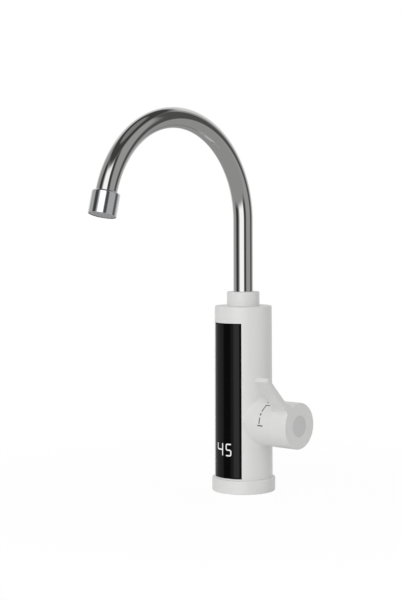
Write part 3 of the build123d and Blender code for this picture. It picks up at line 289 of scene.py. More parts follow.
# Electronics: the display board with its digit module, and the terminal block behind it.
# Lacquered glass-epoxy held by steel screws, a nylon module in front, and a fired steatite
# block for the mains.
def moulded_finish(name, tint, rough, grain_size, grain_depth, index):
    """A moulded or fired body: a grain of a real width in mm over an even colour."""
    material, tree, place = new_surface(name)
    grain = add_node(tree, "ShaderNodeTexNoise", {}, {
        "Vector": place, "Scale": 1000.0 / grain_size, "Detail": 3.0}).outputs["Fac"]
    tone = add_node(tree, "ShaderNodeMix", {"data_type": "RGBA"}, {
        0: grain, "A": shaded(tint, 0.94), "B": linear(tint)})
    gloss = add_node(tree, "ShaderNodeMapRange", {}, {0: grain, 3: rough * 0.85, 4: rough * 1.15})
    bump = add_node(tree, "ShaderNodeBump", {}, {
        "Height": grain, "Strength": grain_depth, "Distance": 0.00006})
    close_surface(tree, {"Base Color": tone.outputs[2], "Roughness": gloss.outputs[0], "IOR": index,
                         "Normal": bump.outputs["Normal"]})
    return material


def metal_finish(name, tint, rough, mark_size, mark_depth):
    """A bare metal: tool marks of a real width in mm over even metal."""
    material, tree, place = new_surface(name)
    marks = add_node(tree, "ShaderNodeTexNoise", {}, {
        "Vector": place, "Scale": 1000.0 / mark_size, "Detail": 4.0, "Roughness": 0.6}).outputs["Fac"]
    gloss = add_node(tree, "ShaderNodeMapRange", {}, {0: marks, 3: rough * 0.8, 4: rough * 1.25})
    tone = add_node(tree, "ShaderNodeMix", {"data_type": "RGBA"}, {
        0: marks, "A": shaded(tint, 0.93), "B": linear(tint)})
    bump = add_node(tree, "ShaderNodeBump", {}, {
        "Height": marks, "Strength": mark_depth, "Distance": 0.00005})
    close_surface(tree, {"Base Color": tone.outputs[2], "Metallic": 1.0, "Roughness": gloss.outputs[0],
                         "Normal": bump.outputs["Normal"]})
    return material


def dress(material, *nodes):
    """Gives frame nodes that keep their shape their real finish."""
    for node in nodes:
        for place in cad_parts[node].material_slots:
            place.material = material


# Sheet steel as it leaves the press: grey, with a broad dull shine
blanked_steel = metal_finish("stainless_steel_blanked", "#b9b9b8", 0.32, 0.6, 0.2)
# Green resin under a clear lacquer: a soft shine with a trace of the weave's grain
board_resin = moulded_finish("glass_epoxy_lacquered", "#1f5f3a", 0.35, 0.8, 0.15, 1.55)
# Near black and dull, with the fine grain of an etched mould
black_nylon = moulded_finish("nylon_black_moulded", "#1b1b1d", 0.5, 0.6, 0.3, 1.53)
# Unglazed cream ceramic: dry, with a sandy grain
fired_steatite = moulded_finish("steatite_fired", "#d8cdb4", 0.55, 0.3, 0.35, 1.6)
dress(board_resin, "display_board")
dress(black_nylon, "digit_module")
dress(blanked_steel, "board_screws", "block_screws")
dress(fired_steatite, "terminal_block")


# Display window: a long plate of smoked acrylic, moulded to the curve of the case and polished.
# It is pressed into the recess, so it lies flush, and at rest it looks black.
WINDOW_THICKNESS, WINDOW_ROUND = 1.5, 0.15
PLATE_HALF_ANGLE = 35.85
BORDER_WIDTH, BORDER_TURN = 1.0, 4.0


def smoked_acrylic(name, tint):
    """Polished tinted acrylic over a dark board: near black, with a wet, even gloss."""
    material, tree, place = new_surface(name)
    # The plate draws in by hundredths of a millimetre over 40 mm as it cools
    sink = add_node(tree, "ShaderNodeTexNoise", {}, {"Vector": place, "Scale": 25.0, "Detail": 0.0})
    bump = add_node(tree, "ShaderNodeBump", {}, {
        "Height": sink.outputs["Fac"], "Strength": 0.15, "Distance": 0.0004})
    # Wiping leaves patches 11 mm across a little less sharp
    wipe = add_node(tree, "ShaderNodeTexNoise", {}, {"Vector": place, "Scale": 90.0, "Detail": 4.0})
    gloss = add_node(tree, "ShaderNodeMapRange", {}, {0: wipe.outputs["Fac"], 3: 0.05, 4: 0.09})
    close_surface(tree, {"Base Color": linear(tint), "Roughness": gloss.outputs[0], "IOR": 1.34,
                         "Normal": bump.outputs["Normal"]})
    return material


def around(turn, radius, height):
    """The place at an angle in degrees from the front, towards the knob's side, on a radius and a height."""
    return Vector((radius * sin(radians(turn)), -radius * cos(radians(turn)), height))


def all_of(bm):
    """Every vertex, edge and face of a bmesh, as its operators take them."""
    return list(bm.verts) + list(bm.edges) + list(bm.faces)


plate = bmesh.new()
section = [around(-PLATE_HALF_ANGLE, case_radius(height) - depth, height) for depth, height in (
    (WINDOW_THICKNESS, WINDOW_FOOT), (0, WINDOW_FOOT), (0, WINDOW_TOP), (WINDOW_THICKNESS, WINDOW_TOP))]
plate.faces.new([plate.verts.new(corner) for corner in section])
bmesh.ops.spin(plate, geom=all_of(plate), cent=(0, 0, 0), axis=(0, 0, 1),
               angle=radians(2 * PLATE_HALF_ANGLE), steps=64)
bmesh.ops.remove_doubles(plate, verts=plate.verts, dist=MERGE)
bmesh.ops.recalc_face_normals(plate, faces=plate.faces)
front_radius = case_radius(WINDOW_TOP) - WINDOW_THICKNESS / 2
corners = [edge for edge in plate.edges if edge.calc_face_angle(0) > radians(40)
           and min(hypot(vert.co.x, vert.co.y) for vert in edge.verts) > front_radius]
soften(plate, corners, WINDOW_ROUND, 2)
# A border round the plate is painted darker and duller than the plate and mirrors nothing: painted shade of
# the gap at the plate's edge
border_foot, border_top = WINDOW_FOOT + BORDER_WIDTH, WINDOW_TOP - BORDER_WIDTH
for height in (border_foot, border_top):
    bmesh.ops.bisect_plane(plate, geom=all_of(plate), plane_co=(0, 0, height), plane_no=(0, 0, 1))
for face in plate.faces:
    middle = face.calc_center_median()
    inside = abs(azimuth(middle)) <= PLATE_HALF_ANGLE - BORDER_TURN and border_foot < middle.z < border_top
    face.material_index = int(not inside)
window_plate = make_piece("window_plate", plate, smoked_acrylic("acrylic_smoked_polished", "#090909"),
                          "housing", "black_window", "display_window")
# The border's material is painted shade: darker and duller than the polished plate
window_plate.data.materials.append(moulded_finish("acrylic_smoked_painted_edge_shade", "#050505", 0.6, 0.3, 0.1, 1.2))


# Lit digits: two seven-segment figures of the display module, seen through the smoked plate.
# Each is a thin light bar with round ends and eased corners, bent on to the plate's curve.
DIGIT_STROKE, DIGIT_CORNER, DIGIT_HEIGHT, DIGIT_DEPTH = 1.3, 1.1, 0.03, 0.04
TOP_BAR, MIDDLE_BAR, LOWER_BAR = 50.2, 44.3, 38.6
FIGURES = (
    ((-10.9, TOP_BAR), (-10.9, MIDDLE_BAR), (-3.2, MIDDLE_BAR)),
    ((-3.2, TOP_BAR), (-3.2, LOWER_BAR + 0.3)),
    ((6.7, TOP_BAR), (1.6, TOP_BAR), (1.6, MIDDLE_BAR), (7.1, MIDDLE_BAR), (7.1, LOWER_BAR),
     (1.9, LOWER_BAR)),
)

# Cool white light with a faint grain: the phosphor's, really a few hundredths of a millimetre
# across, is drawn at 0.8 mm
display_light, tree, place = new_surface("display_light")
grain = add_node(tree, "ShaderNodeTexNoise", {}, {"Vector": place, "Scale": 1200.0, "Detail": 1.0})
level = add_node(tree, "ShaderNodeMapRange", {}, {0: grain.outputs["Fac"], 3: 0.9, 4: 1.0})
tint = add_node(tree, "ShaderNodeMix", {"data_type": "RGBA"}, {
    0: level.outputs[0], "A": linear("#000000"), "B": linear("#f6f7f8")})
light = add_node(tree, "ShaderNodeEmission", {}, {"Color": tint.outputs[2], "Strength": 1.0})
add_node(tree, "ShaderNodeOutputMaterial", {}, {"Surface": light.outputs["Emission"]})


def stroke(bm, start, end, width):
    """One straight bar with round ends, flat in the XY plane."""
    run = Vector(end) - Vector(start)
    made = bmesh.ops.create_circle(bm, cap_ends=True, segments=20, radius=width / 2)["verts"]
    far_end = [vert for vert in made if vert.co.x > 0.01]
    bmesh.ops.translate(bm, vec=(run.length, 0, 0), verts=far_end)
    bmesh.ops.rotate(bm, cent=(0, 0, 0), matrix=Matrix.Rotation(atan2(run.y, run.x), 3, "Z"), verts=made)
    bmesh.ops.translate(bm, vec=(start[0], start[1], 0), verts=made)


def eased(points, corner):
    """The same run of points with each corner cut back by a short slanted bar."""
    route = [Vector(points[0])]
    for before, at, after in zip(points, points[1:], points[2:]):
        at = Vector(at)
        route += [at + (Vector(near) - at).normalized() * corner for near in (before, after)]
    return route + [Vector(points[-1])]


def cut_across(bm, first, last, step):
    """Cuts bars into short lengths along X, so that they can follow a curve."""
    for cut in range(int((last - first) / step) + 1):
        bmesh.ops.bisect_plane(bm, geom=all_of(bm), plane_co=(first + cut * step, 0, 0), plane_no=(1, 0, 0))


digits = bmesh.new()
for points in FIGURES:
    route = eased(points, DIGIT_CORNER)
    for start, end in zip(route, route[1:]):
        stroke(digits, start, end, DIGIT_STROKE)
cut_across(digits, first=-12.0, last=8.0, step=1.0)
for vert in digits.verts:
    across, height = vert.co.x, vert.co.y
    vert.co = around(degrees(across / case_radius(height)), case_radius(height) + DIGIT_HEIGHT, height)
bmesh.ops.solidify(digits, geom=digits.faces, thickness=DIGIT_DEPTH)
lit_digits = make_piece("lit_digits", digits, display_light, "housing", "white_plastic")


# Valve: a brass body screwed to the boss, with two lapped alumina discs that slide on each other.
# The splined spindle turns the outer disc, and EPDM rings seal the body and the spindle.

# Yellow metal with the fine crossed marks of the turning tool
turned_brass = metal_finish("brass_turned", "#d2b06a", 0.28, 0.4, 0.25)
# Cream ceramic ground so flat that it shines
lapped_alumina = moulded_finish("alumina_lapped", "#eee9dc", 0.12, 0.2, 0.1, 1.76)
# Black and dull, with a skin that catches no light
ring_rubber = moulded_finish("epdm_rubber_moulded", "#1c1c1d", 0.62, 0.5, 0.4, 1.52)
dress(turned_brass, "valve_body", "valve_nut", "valve_spindle", "gland_nut")
dress(lapped_alumina, "fixed_disc", "moving_disc")
dress(ring_rubber, "disc_seal", "spindle_ring")
dress(blanked_steel, "knob_screw")


# Flow switch: an acetal float with a ferrite ring rises in its tube when water runs.
# It closes a reed switch in a nylon case, and a fine steel spring, shortened as it rises,
# brings it back.
FLAT_ANGLE = 1.0


def from_frame(node, name, material, body, slot, smooth=30, shape=None):
    """A merged copy of a frame node's mesh, its coplanar triangles joined, that stands for the node."""
    bm = bmesh.new()
    bm.from_mesh(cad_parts[node].data)
    bmesh.ops.scale(bm, vec=(1000, 1000, 1000), verts=bm.verts)
    bmesh.ops.remove_doubles(bm, verts=bm.verts, dist=0.002)
    bmesh.ops.dissolve_limit(bm, angle_limit=radians(FLAT_ANGLE), verts=bm.verts, edges=bm.edges,
                             use_dissolve_boundaries=False)
    if shape:
        shape(bm)
    return make_piece(name, bm, material, body, slot, node, smooth=smooth)


# Milky white, faintly waxy
white_acetal = moulded_finish("acetal_natural_moulded", "#e6e5df", 0.42, 0.8, 0.15, 1.48)
# Dark grey pressed powder, dull and slightly rough
ferrite = moulded_finish("ferrite_pressed", "#2c2c2e", 0.6, 0.2, 0.4, 1.9)
dress(white_acetal, "flow_tube", "flow_float")
dress(ferrite, "float_magnet")
dress(black_nylon, "reed_switch")
# The spring's foot rides on the float and its head stays with the tube, so it has no one parent
return_spring = from_frame("float_spring", "return_spring", blanked_steel, "float", "steel_parts", smooth=70)
return_spring.parent = None
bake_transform(return_spring)


# Heater: a drawn stainless vessel on a brass base plate, with a sheathed coil inside.
# Steatite bushes lead its terminals out, and a cut-out and a probe watch its heat.
dress(blanked_steel, "heater_vessel", "vessel_screws", "heating_element", "element_tabs",
      "temperature_probe", "cold_pipe")
dress(turned_brass, "vessel_base")
dress(ring_rubber, "vessel_seal")
dress(fired_steatite, "terminal_bushes")
dress(black_nylon, "thermal_cutout")


# Base ring: the moulded cup that the case stands in, in the case's own white ABS, rounded at rim
# and foot. Three steel screws draw the case down into it, on a rubber gasket, and the cable's
# gland sits beside the inlet.
base_cup = from_frame("base_ring", "base_cup", white_abs, "housing", "white_moulding")
dress(ring_rubber, "base_gasket", "cable_gland")
dress(blanked_steel, "base_screws")


# Fixing: the brass shank goes down through the worktop, and a nut under it draws the tap tight.
# Its pipe thread is rolled, with 14 turns to the inch, and starts and ends in a shallow turn.
THREAD_RADIUS, THREAD_PITCH, THREAD_DEPTH, THREAD_LEAD = 10.48, 1.814, 1.16, 0.8
SHANK_BORE, SHANK_FOOT, SHANK_TOP, SPIGOT_RADIUS = 6.5, -62.5, 53.9, 9.0
RELIEF_FOOT, RELIEF_TOP, RELIEF_RADIUS = -46.5, -44.0, 9.2
FLANGE_FOOT, FLANGE_TOP, FLANGE_WIDTH = 5.0, 9.0, 24.0
RINGS_PER_TURN, FLANK_SLOPE, CREST_FLAT = 8, 1.25, 0.12


def thread_rings(foot, top):
    """Rings of the blank's surface, an eighth of a pitch apart."""
    return [(THREAD_RADIUS, foot)] + [(THREAD_RADIUS, height) for height in rows(
        foot, top, round((top - foot) / THREAD_PITCH * RINGS_PER_TURN))]


def roll_thread(bm, foot, top):
    """Presses the thread's groove into a blank, fading over a pitch at both ends."""
    for vert in bm.verts:
        radius = hypot(vert.co.x, vert.co.y)
        if abs(radius - THREAD_RADIUS) < 0.01 and foot - 0.01 < vert.co.z < top + 0.01:
            phase = (vert.co.z / THREAD_PITCH - atan2(vert.co.y, vert.co.x) / tau) % 1
            fade = min(1, (vert.co.z - foot) / THREAD_PITCH, (top - vert.co.z) / THREAD_PITCH)
            # A wave of straight flanks, cut off flat at root and crest
            groove = min(1, max(0, FLANK_SLOPE * (1 - abs(2 * phase - 1)) - CREST_FLAT))
            vert.co.xy *= (radius - THREAD_DEPTH * max(0, fade) * groove) / radius


thread_foot = SHANK_FOOT + THREAD_LEAD
shank = bmesh.new()
lathe(shank, [(SHANK_BORE, SHANK_FOOT), (THREAD_RADIUS - THREAD_LEAD, SHANK_FOOT)]
      + thread_rings(thread_foot, RELIEF_FOOT) + [(RELIEF_RADIUS, RELIEF_FOOT), (RELIEF_RADIUS, RELIEF_TOP)]
      + thread_rings(RELIEF_TOP, FLANGE_FOOT) + [(SPIGOT_RADIUS, FLANGE_FOOT), (SPIGOT_RADIUS, SHANK_TOP)]
      + [(SHANK_BORE, SHANK_TOP)], segments=64)
roll_thread(shank, thread_foot, RELIEF_FOOT)
roll_thread(shank, RELIEF_TOP, FLANGE_FOOT)
soften(shank, ring_edges(shank, SHANK_BORE, SHANK_FOOT), 0.4, 2)
flange = bmesh.ops.create_cone(shank, cap_ends=True, segments=6, radius1=FLANGE_WIDTH / sqrt(3),
                               radius2=FLANGE_WIDTH / sqrt(3), depth=FLANGE_TOP - FLANGE_FOOT)["verts"]
bmesh.ops.rotate(shank, cent=(0, 0, 0), matrix=Matrix.Rotation(pi / 6, 3, "Z"), verts=flange)
bmesh.ops.translate(shank, vec=(0, 0, (FLANGE_FOOT + FLANGE_TOP) / 2), verts=flange)
threaded_shank = make_piece("threaded_shank", shank, turned_brass, "housing", "brass_parts", "mounting_shank")
dress(turned_brass, "backnut")
dress(blanked_steel, "clamp_plate")
dress(ring_rubber, "clamp_rubber", "shank_ring")


# Scale marks: black ink pad-printed on the boss beside the knob, two strokes, two dots and two
# ticks. The ink stands a few hundredths of a millimetre proud and is duller than the plastic.
INK_HEIGHT, INK_DEPTH = 0.01, 0.03
LINE_WIDTH, DOT_WIDTH = 1.1, 1.6
# Both ends of each mark, as millimetres from the tap's axis and degrees up from the boss's front
MARKS = (
    ((37.6, 0.5), (43.4, 0.5), LINE_WIDTH),
    ((39.2, 5.9), (39.2, 19.4), LINE_WIDTH),
    ((39.2, 27.8), (39.2, 29.8), DOT_WIDTH),
    ((39.6, 37.2), (40.4, 55.1), LINE_WIDTH),
    ((39.7, 57.0), (44.7, 57.0), LINE_WIDTH),
    ((38.9, 69.2), (38.9, 71.2), DOT_WIDTH),
)
# Thin black ink lets the white through, so it looks dark grey and dull
print_ink = moulded_finish("pad_print_ink_black", "#4a4a4a", 0.5, 0.3, 0.1, 1.5)
marks = bmesh.new()
for (x_start, turn_start), (x_end, turn_end), width in MARKS:
    start = (BOSS_RADIUS * radians(turn_start), x_start)
    end = (BOSS_RADIUS * radians(turn_end), x_end)
    stroke(marks, start, end, width)
cut_across(marks, first=-1.0, last=31.0, step=0.8)
for vert in marks.verts:
    turn, x = vert.co.x / BOSS_RADIUS, vert.co.y
    out = BOSS_RADIUS + INK_HEIGHT
    vert.co = (x, -out * cos(turn), BOSS_HEIGHT + out * sin(turn))
bmesh.ops.recalc_face_normals(marks, faces=marks.faces)
bmesh.ops.solidify(marks, geom=marks.faces, thickness=INK_DEPTH)
scale_marks = make_piece("scale_marks", marks, print_ink, "housing", "black_window")


# Control knob: a moulded ABS cap with a flat lever on its rim, screwed to the valve's spindle.
# A grey disc with a matt face, from a lightly blasted mould, closes its end.
SKIRT_EDGE, SKIRT_GAP = 50.35, 0.1


def close_skirt(bm):
    """Brings the skirt's edge to a tenth of a millimetre from the boss."""
    for vert in bm.verts:
        if vert.co.x < SKIRT_EDGE:
            vert.co.x = BOSS_FACE + SKIRT_GAP


knob_shell = from_frame("control_knob", "knob_shell", white_abs, "knob", "white_moulding", shape=close_skirt)
# Light grey without a highlight
grey_cap = moulded_finish("abs_grey_fine_blasted", "#d9d9d9", 0.5, 0.5, 0.25, 1.53)
dress(grey_cap, "knob_cap")


# Spout seat: a brass socket screwed up into the case's top, in which the spout's foot turns.
# Two rubber rings seal the foot, and an acetal washer carries it.
dress(turned_brass, "spout_socket", "spout_foot")
dress(ring_rubber, "spout_rings")
dress(white_acetal, "swivel_washer")


# Neck collar: the threaded ABS cap that clamps the spout's socket to the top of the case.
# Moulded smooth, with a small round at its upper rim and a lip that closes on the tube.
COLLAR_TOP, COLLAR_RADIUS, COLLAR_BORE = 203.3, 16.55, 13.55
COLLAR_LIP, COLLAR_EYE = 2.5, 10.3
collar = bmesh.new()
lathe(collar, [(COLLAR_RADIUS, BODY_TOP), (COLLAR_RADIUS, COLLAR_TOP), (COLLAR_EYE, COLLAR_TOP),
               (COLLAR_EYE, COLLAR_TOP - COLLAR_LIP), (COLLAR_BORE, COLLAR_TOP - COLLAR_LIP),
               (COLLAR_BORE, BODY_TOP)])
soften(collar, ring_edges(collar, COLLAR_RADIUS, COLLAR_TOP), 0.9, 5)
soften(collar, ring_edges(collar, COLLAR_EYE, COLLAR_TOP), 0.25, 2)
soften(collar, ring_edges(collar, COLLAR_RADIUS, BODY_TOP), 0.2, 2)
neck_cap = make_piece("neck_cap", collar, white_abs, "housing", "white_moulding", "neck_collar")


# Spout: one length of 20 mm stainless tube, drawn over a former into a swan neck.
# Belt-ground and mirror-polished, so it shows the room around it and hardly its own grey.
TUBE_RADIUS, TUBE_WALL, TUBE_FOOT, TUBE_TAIL = 10.0, 1.0, 199.6, 10.2
ARC_HEIGHT, ARC_RADIUS, BEND = 275.1, 99.3, radians(165)


def polished_metal(name, tint, rough, line_depth):
    """Mirror-polished metal: a clear reflection with the last traces of the polishing belt."""
    material, tree, place = new_surface(name)
    # Belt lines really 0.02 mm apart, drawn at 0.8 mm so that they show at all
    lines = add_node(tree, "ShaderNodeTexNoise", {}, {
        "Vector": place, "Scale": 1250.0, "Detail": 3.0, "Distortion": 0.4})
    bump = add_node(tree, "ShaderNodeBump", {}, {
        "Height": lines.outputs["Fac"], "Strength": line_depth, "Distance": 0.00001})
    # The belt bears more and less over about 14 mm
    cloud = add_node(tree, "ShaderNodeTexNoise", {}, {"Vector": place, "Scale": 70.0, "Detail": 2.0})
    gloss = add_node(tree, "ShaderNodeMapRange", {}, {
        0: cloud.outputs["Fac"], 3: rough * 0.7, 4: rough * 1.4})
    close_surface(tree, {"Base Color": linear(tint), "Metallic": 1.0, "Roughness": gloss.outputs[0],
                         "Normal": bump.outputs["Normal"]})
    return material


tube = bmesh.new()
for radius in (TUBE_RADIUS, TUBE_RADIUS - TUBE_WALL):
    bmesh.ops.create_circle(tube, segments=96, radius=radius)
end_ring = bmesh.ops.bridge_loops(tube, edges=tube.edges)["faces"]
bmesh.ops.translate(tube, vec=(0, 0, TUBE_FOOT), verts=tube.verts)


def draw_tube(faces, **step):
    """Draws the tube's end ring on by one spin and returns the new end's faces."""
    geom = faces + list({edge for face in faces for edge in face.edges})
    geom += list({vert for face in faces for vert in face.verts})
    last = bmesh.ops.spin(tube, geom=geom, **step)["geom_last"]
    return [item for item in last if isinstance(item, bmesh.types.BMFace)]


end_ring = draw_tube(end_ring, cent=(0, 0, 0), axis=(0, 0, 1), angle=0, steps=6,
                     dvec=(0, 0, (ARC_HEIGHT - TUBE_FOOT) / 6))
end_ring = draw_tube(end_ring, cent=(0, -ARC_RADIUS, ARC_HEIGHT), axis=(1, 0, 0), angle=BEND, steps=120)
end_ring = draw_tube(end_ring, cent=(0, 0, 0), axis=(0, 0, 1), angle=0, steps=1,
                     dvec=(0, -TUBE_TAIL * sin(BEND), TUBE_TAIL * cos(BEND)))
bmesh.ops.remove_doubles(tube, verts=tube.verts, dist=MERGE)
# Hardly a colour of its own: sharp bands of the room, a little blurred
mirror_steel = polished_metal("stainless_steel_mirror_polished", "#dcdcdb", 0.03, 0.006)
spout_pipe = make_piece("spout_pipe", tube, mirror_steel, "spout", "polished_steel", "spout_tube")


# Aerator housing: a brass sleeve pushed over the tube's end, nickel-plated and chromed.
# Turned with a full round at its shoulder and a fine edge at its mouth.
OUTLET = Vector((0, ARC_RADIUS * (cos(BEND) - 1), ARC_HEIGHT + ARC_RADIUS * sin(BEND)))
SLEEVE_RADIUS, SLEEVE_BACK, SLEEVE_REACH, SLEEVE_BORE, SLEEVE_EYE = 13.3, -1.3, 20.8, 12.4, 10.05
SLEEVE_FLOOR = TUBE_TAIL + 0.1
to_outlet = Matrix.Translation(OUTLET) @ Matrix.Rotation(BEND, 4, "X")
sleeve = bmesh.new()
lathe(sleeve, [(SLEEVE_EYE, SLEEVE_BACK), (SLEEVE_RADIUS, SLEEVE_BACK), (SLEEVE_RADIUS, SLEEVE_REACH),
               (SLEEVE_BORE, SLEEVE_REACH), (SLEEVE_BORE, SLEEVE_FLOOR), (SLEEVE_EYE, SLEEVE_FLOOR)])
soften(sleeve, ring_edges(sleeve, SLEEVE_RADIUS, SLEEVE_BACK), 2.0, 8)
soften(sleeve, ring_edges(sleeve, SLEEVE_RADIUS, SLEEVE_REACH), 0.4, 3)
soften(sleeve, ring_edges(sleeve, SLEEVE_BORE, SLEEVE_REACH), 0.2, 2)
for face in sleeve.faces:
    middle = face.calc_center_median()
    in_bore = hypot(middle.x, middle.y) < SLEEVE_BORE + 0.1 and middle.z > SLEEVE_FLOOR
    face.material_index = int(in_bore)
bmesh.ops.transform(sleeve, matrix=to_outlet, verts=sleeve.verts)
# Bluish and very bright, a little softer than the tube's mirror
chrome_plate = polished_metal("brass_chrome_plated", "#f2f3f5", 0.11, 0.006)
aerator_sleeve = make_piece("aerator_sleeve", sleeve, chrome_plate, "spout", "plated_aerator",
                            "aerator_housing")
# The bore is painted a darker, duller grey than the chrome outside: painted shade inside the sleeve
aerator_sleeve.data.materials.append(metal_finish("painted_shade_in_bore", "#8d8c89", 0.4, 0.4, 0.15))
dress(ring_rubber, "aerator_washer")
dress(white_acetal, "aerator_insert")


# Outlet screen: stainless wires woven one over one and held in a pressed rim, just inside the
# mouth. The real weave has 3 wires to the millimetre, and is drawn with a wire every 0.9 mm so
# that it shows.
SCREEN_RADIUS, SCREEN_RIM, SCREEN_THICKNESS = 12.3, 0.9, 0.6
SCREEN_FLOOR = SLEEVE_REACH - 1.1
SCREEN_FACE = SCREEN_FLOOR + SCREEN_THICKNESS
WIRE_PITCH, WIRE_RADIUS, WAVE_STEPS = 0.9, 0.22, 3

screen = bmesh.new()
wires_aside = int((SCREEN_RADIUS - SCREEN_RIM) / WIRE_PITCH)
for row in range(-wires_aside, wires_aside + 1):
    chord = 2 * sqrt((SCREEN_RADIUS - SCREEN_RIM / 2) ** 2 - (row * WIRE_PITCH) ** 2)
    wire = bmesh.ops.create_cone(screen, cap_ends=True, segments=5, radius1=WIRE_RADIUS, radius2=WIRE_RADIUS,
                                 depth=chord)["verts"]
    bmesh.ops.rotate(screen, cent=(0, 0, 0), matrix=Matrix.Rotation(pi / 2, 3, "Y"), verts=wire)
    bmesh.ops.translate(screen, vec=(0, row * WIRE_PITCH, 0), verts=wire)
cut_across(screen, -SCREEN_RADIUS, SCREEN_RADIUS, WIRE_PITCH / WAVE_STEPS)
for vert in screen.verts:
    row = round(vert.co.y / WIRE_PITCH)
    vert.co.z += WIRE_RADIUS * cos(pi * (vert.co.x / WIRE_PITCH + row))
# The second set is the first one turned over and laid across, so each wire goes under where the
# other goes over
copied = bmesh.ops.duplicate(screen, geom=all_of(screen))["geom"]
bmesh.ops.rotate(screen, cent=(0, 0, 0), matrix=Matrix.Rotation(pi / 2, 3, "Z") @ Matrix.Rotation(pi, 3, "X"),
                 verts=[item for item in copied if isinstance(item, bmesh.types.BMVert)])
bmesh.ops.translate(screen, vec=(0, 0, (SCREEN_FLOOR + SCREEN_FACE) / 2), verts=screen.verts)
lathe(screen, [(SCREEN_RADIUS - SCREEN_RIM, SCREEN_FLOOR), (SCREEN_RADIUS, SCREEN_FLOOR),
               (SCREEN_RADIUS, SCREEN_FACE), (SCREEN_RADIUS - SCREEN_RIM, SCREEN_FACE)], segments=96)
bmesh.ops.transform(screen, matrix=to_outlet, verts=screen.verts)
# Pale and even: the drawn wires scatter what they catch
woven_steel = metal_finish("stainless_wire_woven", "#f0f0f0", 0.55, 0.5, 0.1)
woven_screen = make_piece("woven_screen", screen, woven_steel, "spout", "steel_parts", "outlet_screen")


# Studio: a white worktop that the tap stands on, a white room, and one broad soft light.
# The room's grey walls and openings are only seen in the metal, as bands along the tube.
WORKTOP_RADIUS, WORKTOP_DROP = 0.5, 0.0001
WHITE = (1.0, 1.0, 1.0, 1.0)

# Flat white paint with a fine mottle
worktop_paint, tree, place = new_surface("worktop_white_paint")
mottle = add_node(tree, "ShaderNodeTexNoise", {}, {"Vector": place, "Scale": 900.0, "Detail": 2.0})
paint = add_node(tree, "ShaderNodeMix", {"data_type": "RGBA"}, {
    0: mottle.outputs["Fac"], "A": linear("#f2f2f2"), "B": linear("#f5f5f5")})
lit = add_node(tree, "ShaderNodeBsdfDiffuse", {}, {"Color": paint.outputs[2]})
flat_white = add_node(tree, "ShaderNodeEmission", {}, {"Color": WHITE, "Strength": 1.0})
# It grows even with the room's white away from the tap, so the worktop has no visible end
away = add_node(tree, "ShaderNodeVectorMath", {"operation": "LENGTH"}, {0: place})
even = add_node(tree, "ShaderNodeMapRange", {"interpolation_type": "SMOOTHSTEP"}, {
    0: away.outputs["Value"], 1: 0.1, 2: 0.45, 3: 0.96, 4: 1.0})
ray = add_node(tree, "ShaderNodeLightPath")
share = add_node(tree, "ShaderNodeMath", {"operation": "MULTIPLY"}, {
    0: even.outputs[0], 1: ray.outputs["Is Camera Ray"]})
seen_floor = add_node(tree, "ShaderNodeMixShader", {}, {
    0: share.outputs[0], 1: lit.outputs[0], 2: flat_white.outputs[0]})
add_node(tree, "ShaderNodeOutputMaterial", {}, {"Surface": seen_floor.outputs[0]})
ground = bmesh.new()
bmesh.ops.create_circle(ground, cap_ends=True, segments=96, radius=WORKTOP_RADIUS)
bmesh.ops.translate(ground, vec=(0, 0, -WORKTOP_DROP), verts=ground.verts)
mesh = bpy.data.meshes.new("floor")
ground.to_mesh(mesh)
ground.free()
mesh.materials.append(worktop_paint)
floor = bpy.data.objects.new("floor", mesh)
bpy.context.scene.collection.objects.link(floor)
floor.visible_glossy = False

# The room as the metal sees it: plain walls with one big window, dark curtains and a dark beam.
# Each panel has its middle and half width in degrees round the tap, its foot and top as heights
# in degrees, and its grey.
ROOM_TURN, SOFT_EDGE = 50.2, 5.0
ROOM_LIGHT, FILL_LIGHT = 1.38, 0.6
WALL_GREY = "#929292"
PANELS = {
    "floor": (0, 181, -91, -14, "#8a8a8a"),
    "wall behind": (180, 46, -16, 46, "#c6c6c6"),
    "big window": (-14, 26, -16, 46, "#f4f4f4"),
    "left curtain": (-70, 17, -16, 50, "#343434"),
    "right curtain": (24, 13, -16, 50, "#3c3c3c"),
    "doorway": (104, 13, -8, 50, "#4a4a4a"),
    "beam": (0, 181, 50, 74, "#3c3c3c"),
    "ceiling": (0, 181, 74, 91, "#777777"),
}
world = bpy.data.worlds.new("studio")
bpy.context.scene.world = world
world.use_nodes = True
tree = world.node_tree
tree.nodes.clear()
toward_sky = add_node(tree, "ShaderNodeTexCoord").outputs["Generated"]
turned = add_node(tree, "ShaderNodeVectorRotate", {"rotation_type": "Z_AXIS"}, {
    "Vector": toward_sky, "Angle": radians(ROOM_TURN)})
apart = add_node(tree, "ShaderNodeSeparateXYZ", {}, {"Vector": turned.outputs["Vector"]})
height = add_node(tree, "ShaderNodeMath", {"operation": "ARCSINE"}, {0: apart.outputs["Z"]})
flat = add_node(tree, "ShaderNodeCombineXYZ", {}, {"X": apart.outputs["X"], "Y": apart.outputs["Y"]})
level = add_node(tree, "ShaderNodeVectorMath", {"operation": "NORMALIZE"}, {0: flat.outputs["Vector"]})
seen = add_node(tree, "ShaderNodeRGB").outputs["Color"]
seen.default_value = linear(WALL_GREY)


def edge_of(angle, limit, first, last):
    """A share that goes softly from first to last where an angle passes its limit in degrees."""
    return add_node(tree, "ShaderNodeMapRange", {"interpolation_type": "SMOOTHSTEP"}, {
        0: angle, 1: radians(limit - SOFT_EDGE), 2: radians(limit + SOFT_EDGE), 3: first, 4: last}).outputs[0]


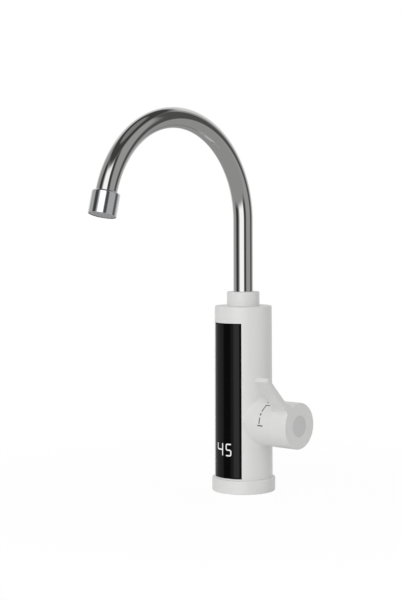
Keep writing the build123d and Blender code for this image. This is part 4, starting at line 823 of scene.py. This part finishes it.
for middle, half, foot, top, grey in PANELS.values():
    toward = (cos(radians(middle)), sin(radians(middle)), 0)
    along = add_node(tree, "ShaderNodeVectorMath", {"operation": "DOT_PRODUCT"}, {
        0: level.outputs["Vector"], 1: toward})
    aside = add_node(tree, "ShaderNodeMath", {"operation": "ARCCOSINE"}, {0: along.outputs["Value"]})
    strip = add_node(tree, "ShaderNodeMath", {"operation": "MULTIPLY"}, {
        0: edge_of(height.outputs[0], foot, 0.0, 1.0), 1: edge_of(height.outputs[0], top, 1.0, 0.0)})
    panel = add_node(tree, "ShaderNodeMath", {"operation": "MULTIPLY"}, {
        0: strip.outputs[0], 1: edge_of(aside.outputs[0], half, 1.0, 0.0)})
    seen = add_node(tree, "ShaderNodeMix", {"data_type": "RGBA"}, {
        0: panel.outputs[0], "A": seen, "B": linear(grey)}).outputs[2]
ray = add_node(tree, "ShaderNodeLightPath")
room = add_node(tree, "ShaderNodeBackground", {}, {"Color": seen, "Strength": ROOM_LIGHT})
fill = add_node(tree, "ShaderNodeBackground", {}, {"Color": WHITE, "Strength": FILL_LIGHT})
white = add_node(tree, "ShaderNodeBackground", {}, {"Color": WHITE, "Strength": 1.0})
round_about = add_node(tree, "ShaderNodeMixShader", {}, {
    0: ray.outputs["Is Glossy Ray"], 1: fill.outputs[0], 2: room.outputs[0]})
backdrop = add_node(tree, "ShaderNodeMixShader", {}, {
    0: ray.outputs["Is Camera Ray"], 1: round_about.outputs[0], 2: white.outputs[0]})
add_node(tree, "ShaderNodeOutputWorld", {}, {"Surface": backdrop.outputs[0]})

# One broad softbox in front and above, aimed at the body, and left out of the metal
SOFTBOX_PLACE, SOFTBOX_AIM = Vector((0.52, -1.81, 0.95)), Vector((0, 0, 0.2))
softbox = bpy.data.lights.new("softbox", "AREA")
softbox.shape = "RECTANGLE"
softbox.size, softbox.size_y = 1.7, 1.9
softbox.energy = 16.0
lamp = bpy.data.objects.new("softbox", softbox)
bpy.context.scene.collection.objects.link(lamp)
lamp.location = SOFTBOX_PLACE
lamp.rotation_euler = (SOFTBOX_AIM - SOFTBOX_PLACE).to_track_quat("-Z", "Y").to_euler()
lamp.visible_glossy = False

# Camera: a long lens a little above the tap's middle, in front and to the knob's side
CAMERA_PLACE, CAMERA_AHEAD, CAMERA_ROLL = (0.9352, -1.1223, 0.2752), (-0.6618, 0.7477, -0.0554), -0.267
camera_data = bpy.data.cameras.new("camera")
camera_data.sensor_width = 36.0
camera_data.lens = 85.914
camera_data.clip_end = 50.0
camera = bpy.data.objects.new("camera", camera_data)
bpy.context.scene.collection.objects.link(camera)
bpy.context.scene.camera = camera
ahead = Vector(CAMERA_AHEAD).normalized()
right = ahead.cross(Vector((0, 0, 1))).normalized()
up = right.cross(ahead)
roll = radians(CAMERA_ROLL)
right, up = right * cos(roll) + up * sin(roll), up * cos(roll) - right * sin(roll)
camera.matrix_world = Matrix.Translation(CAMERA_PLACE) @ Matrix((right, up, -ahead)).transposed().to_4x4()

bpy.context.scene.view_settings.view_transform = "Standard"
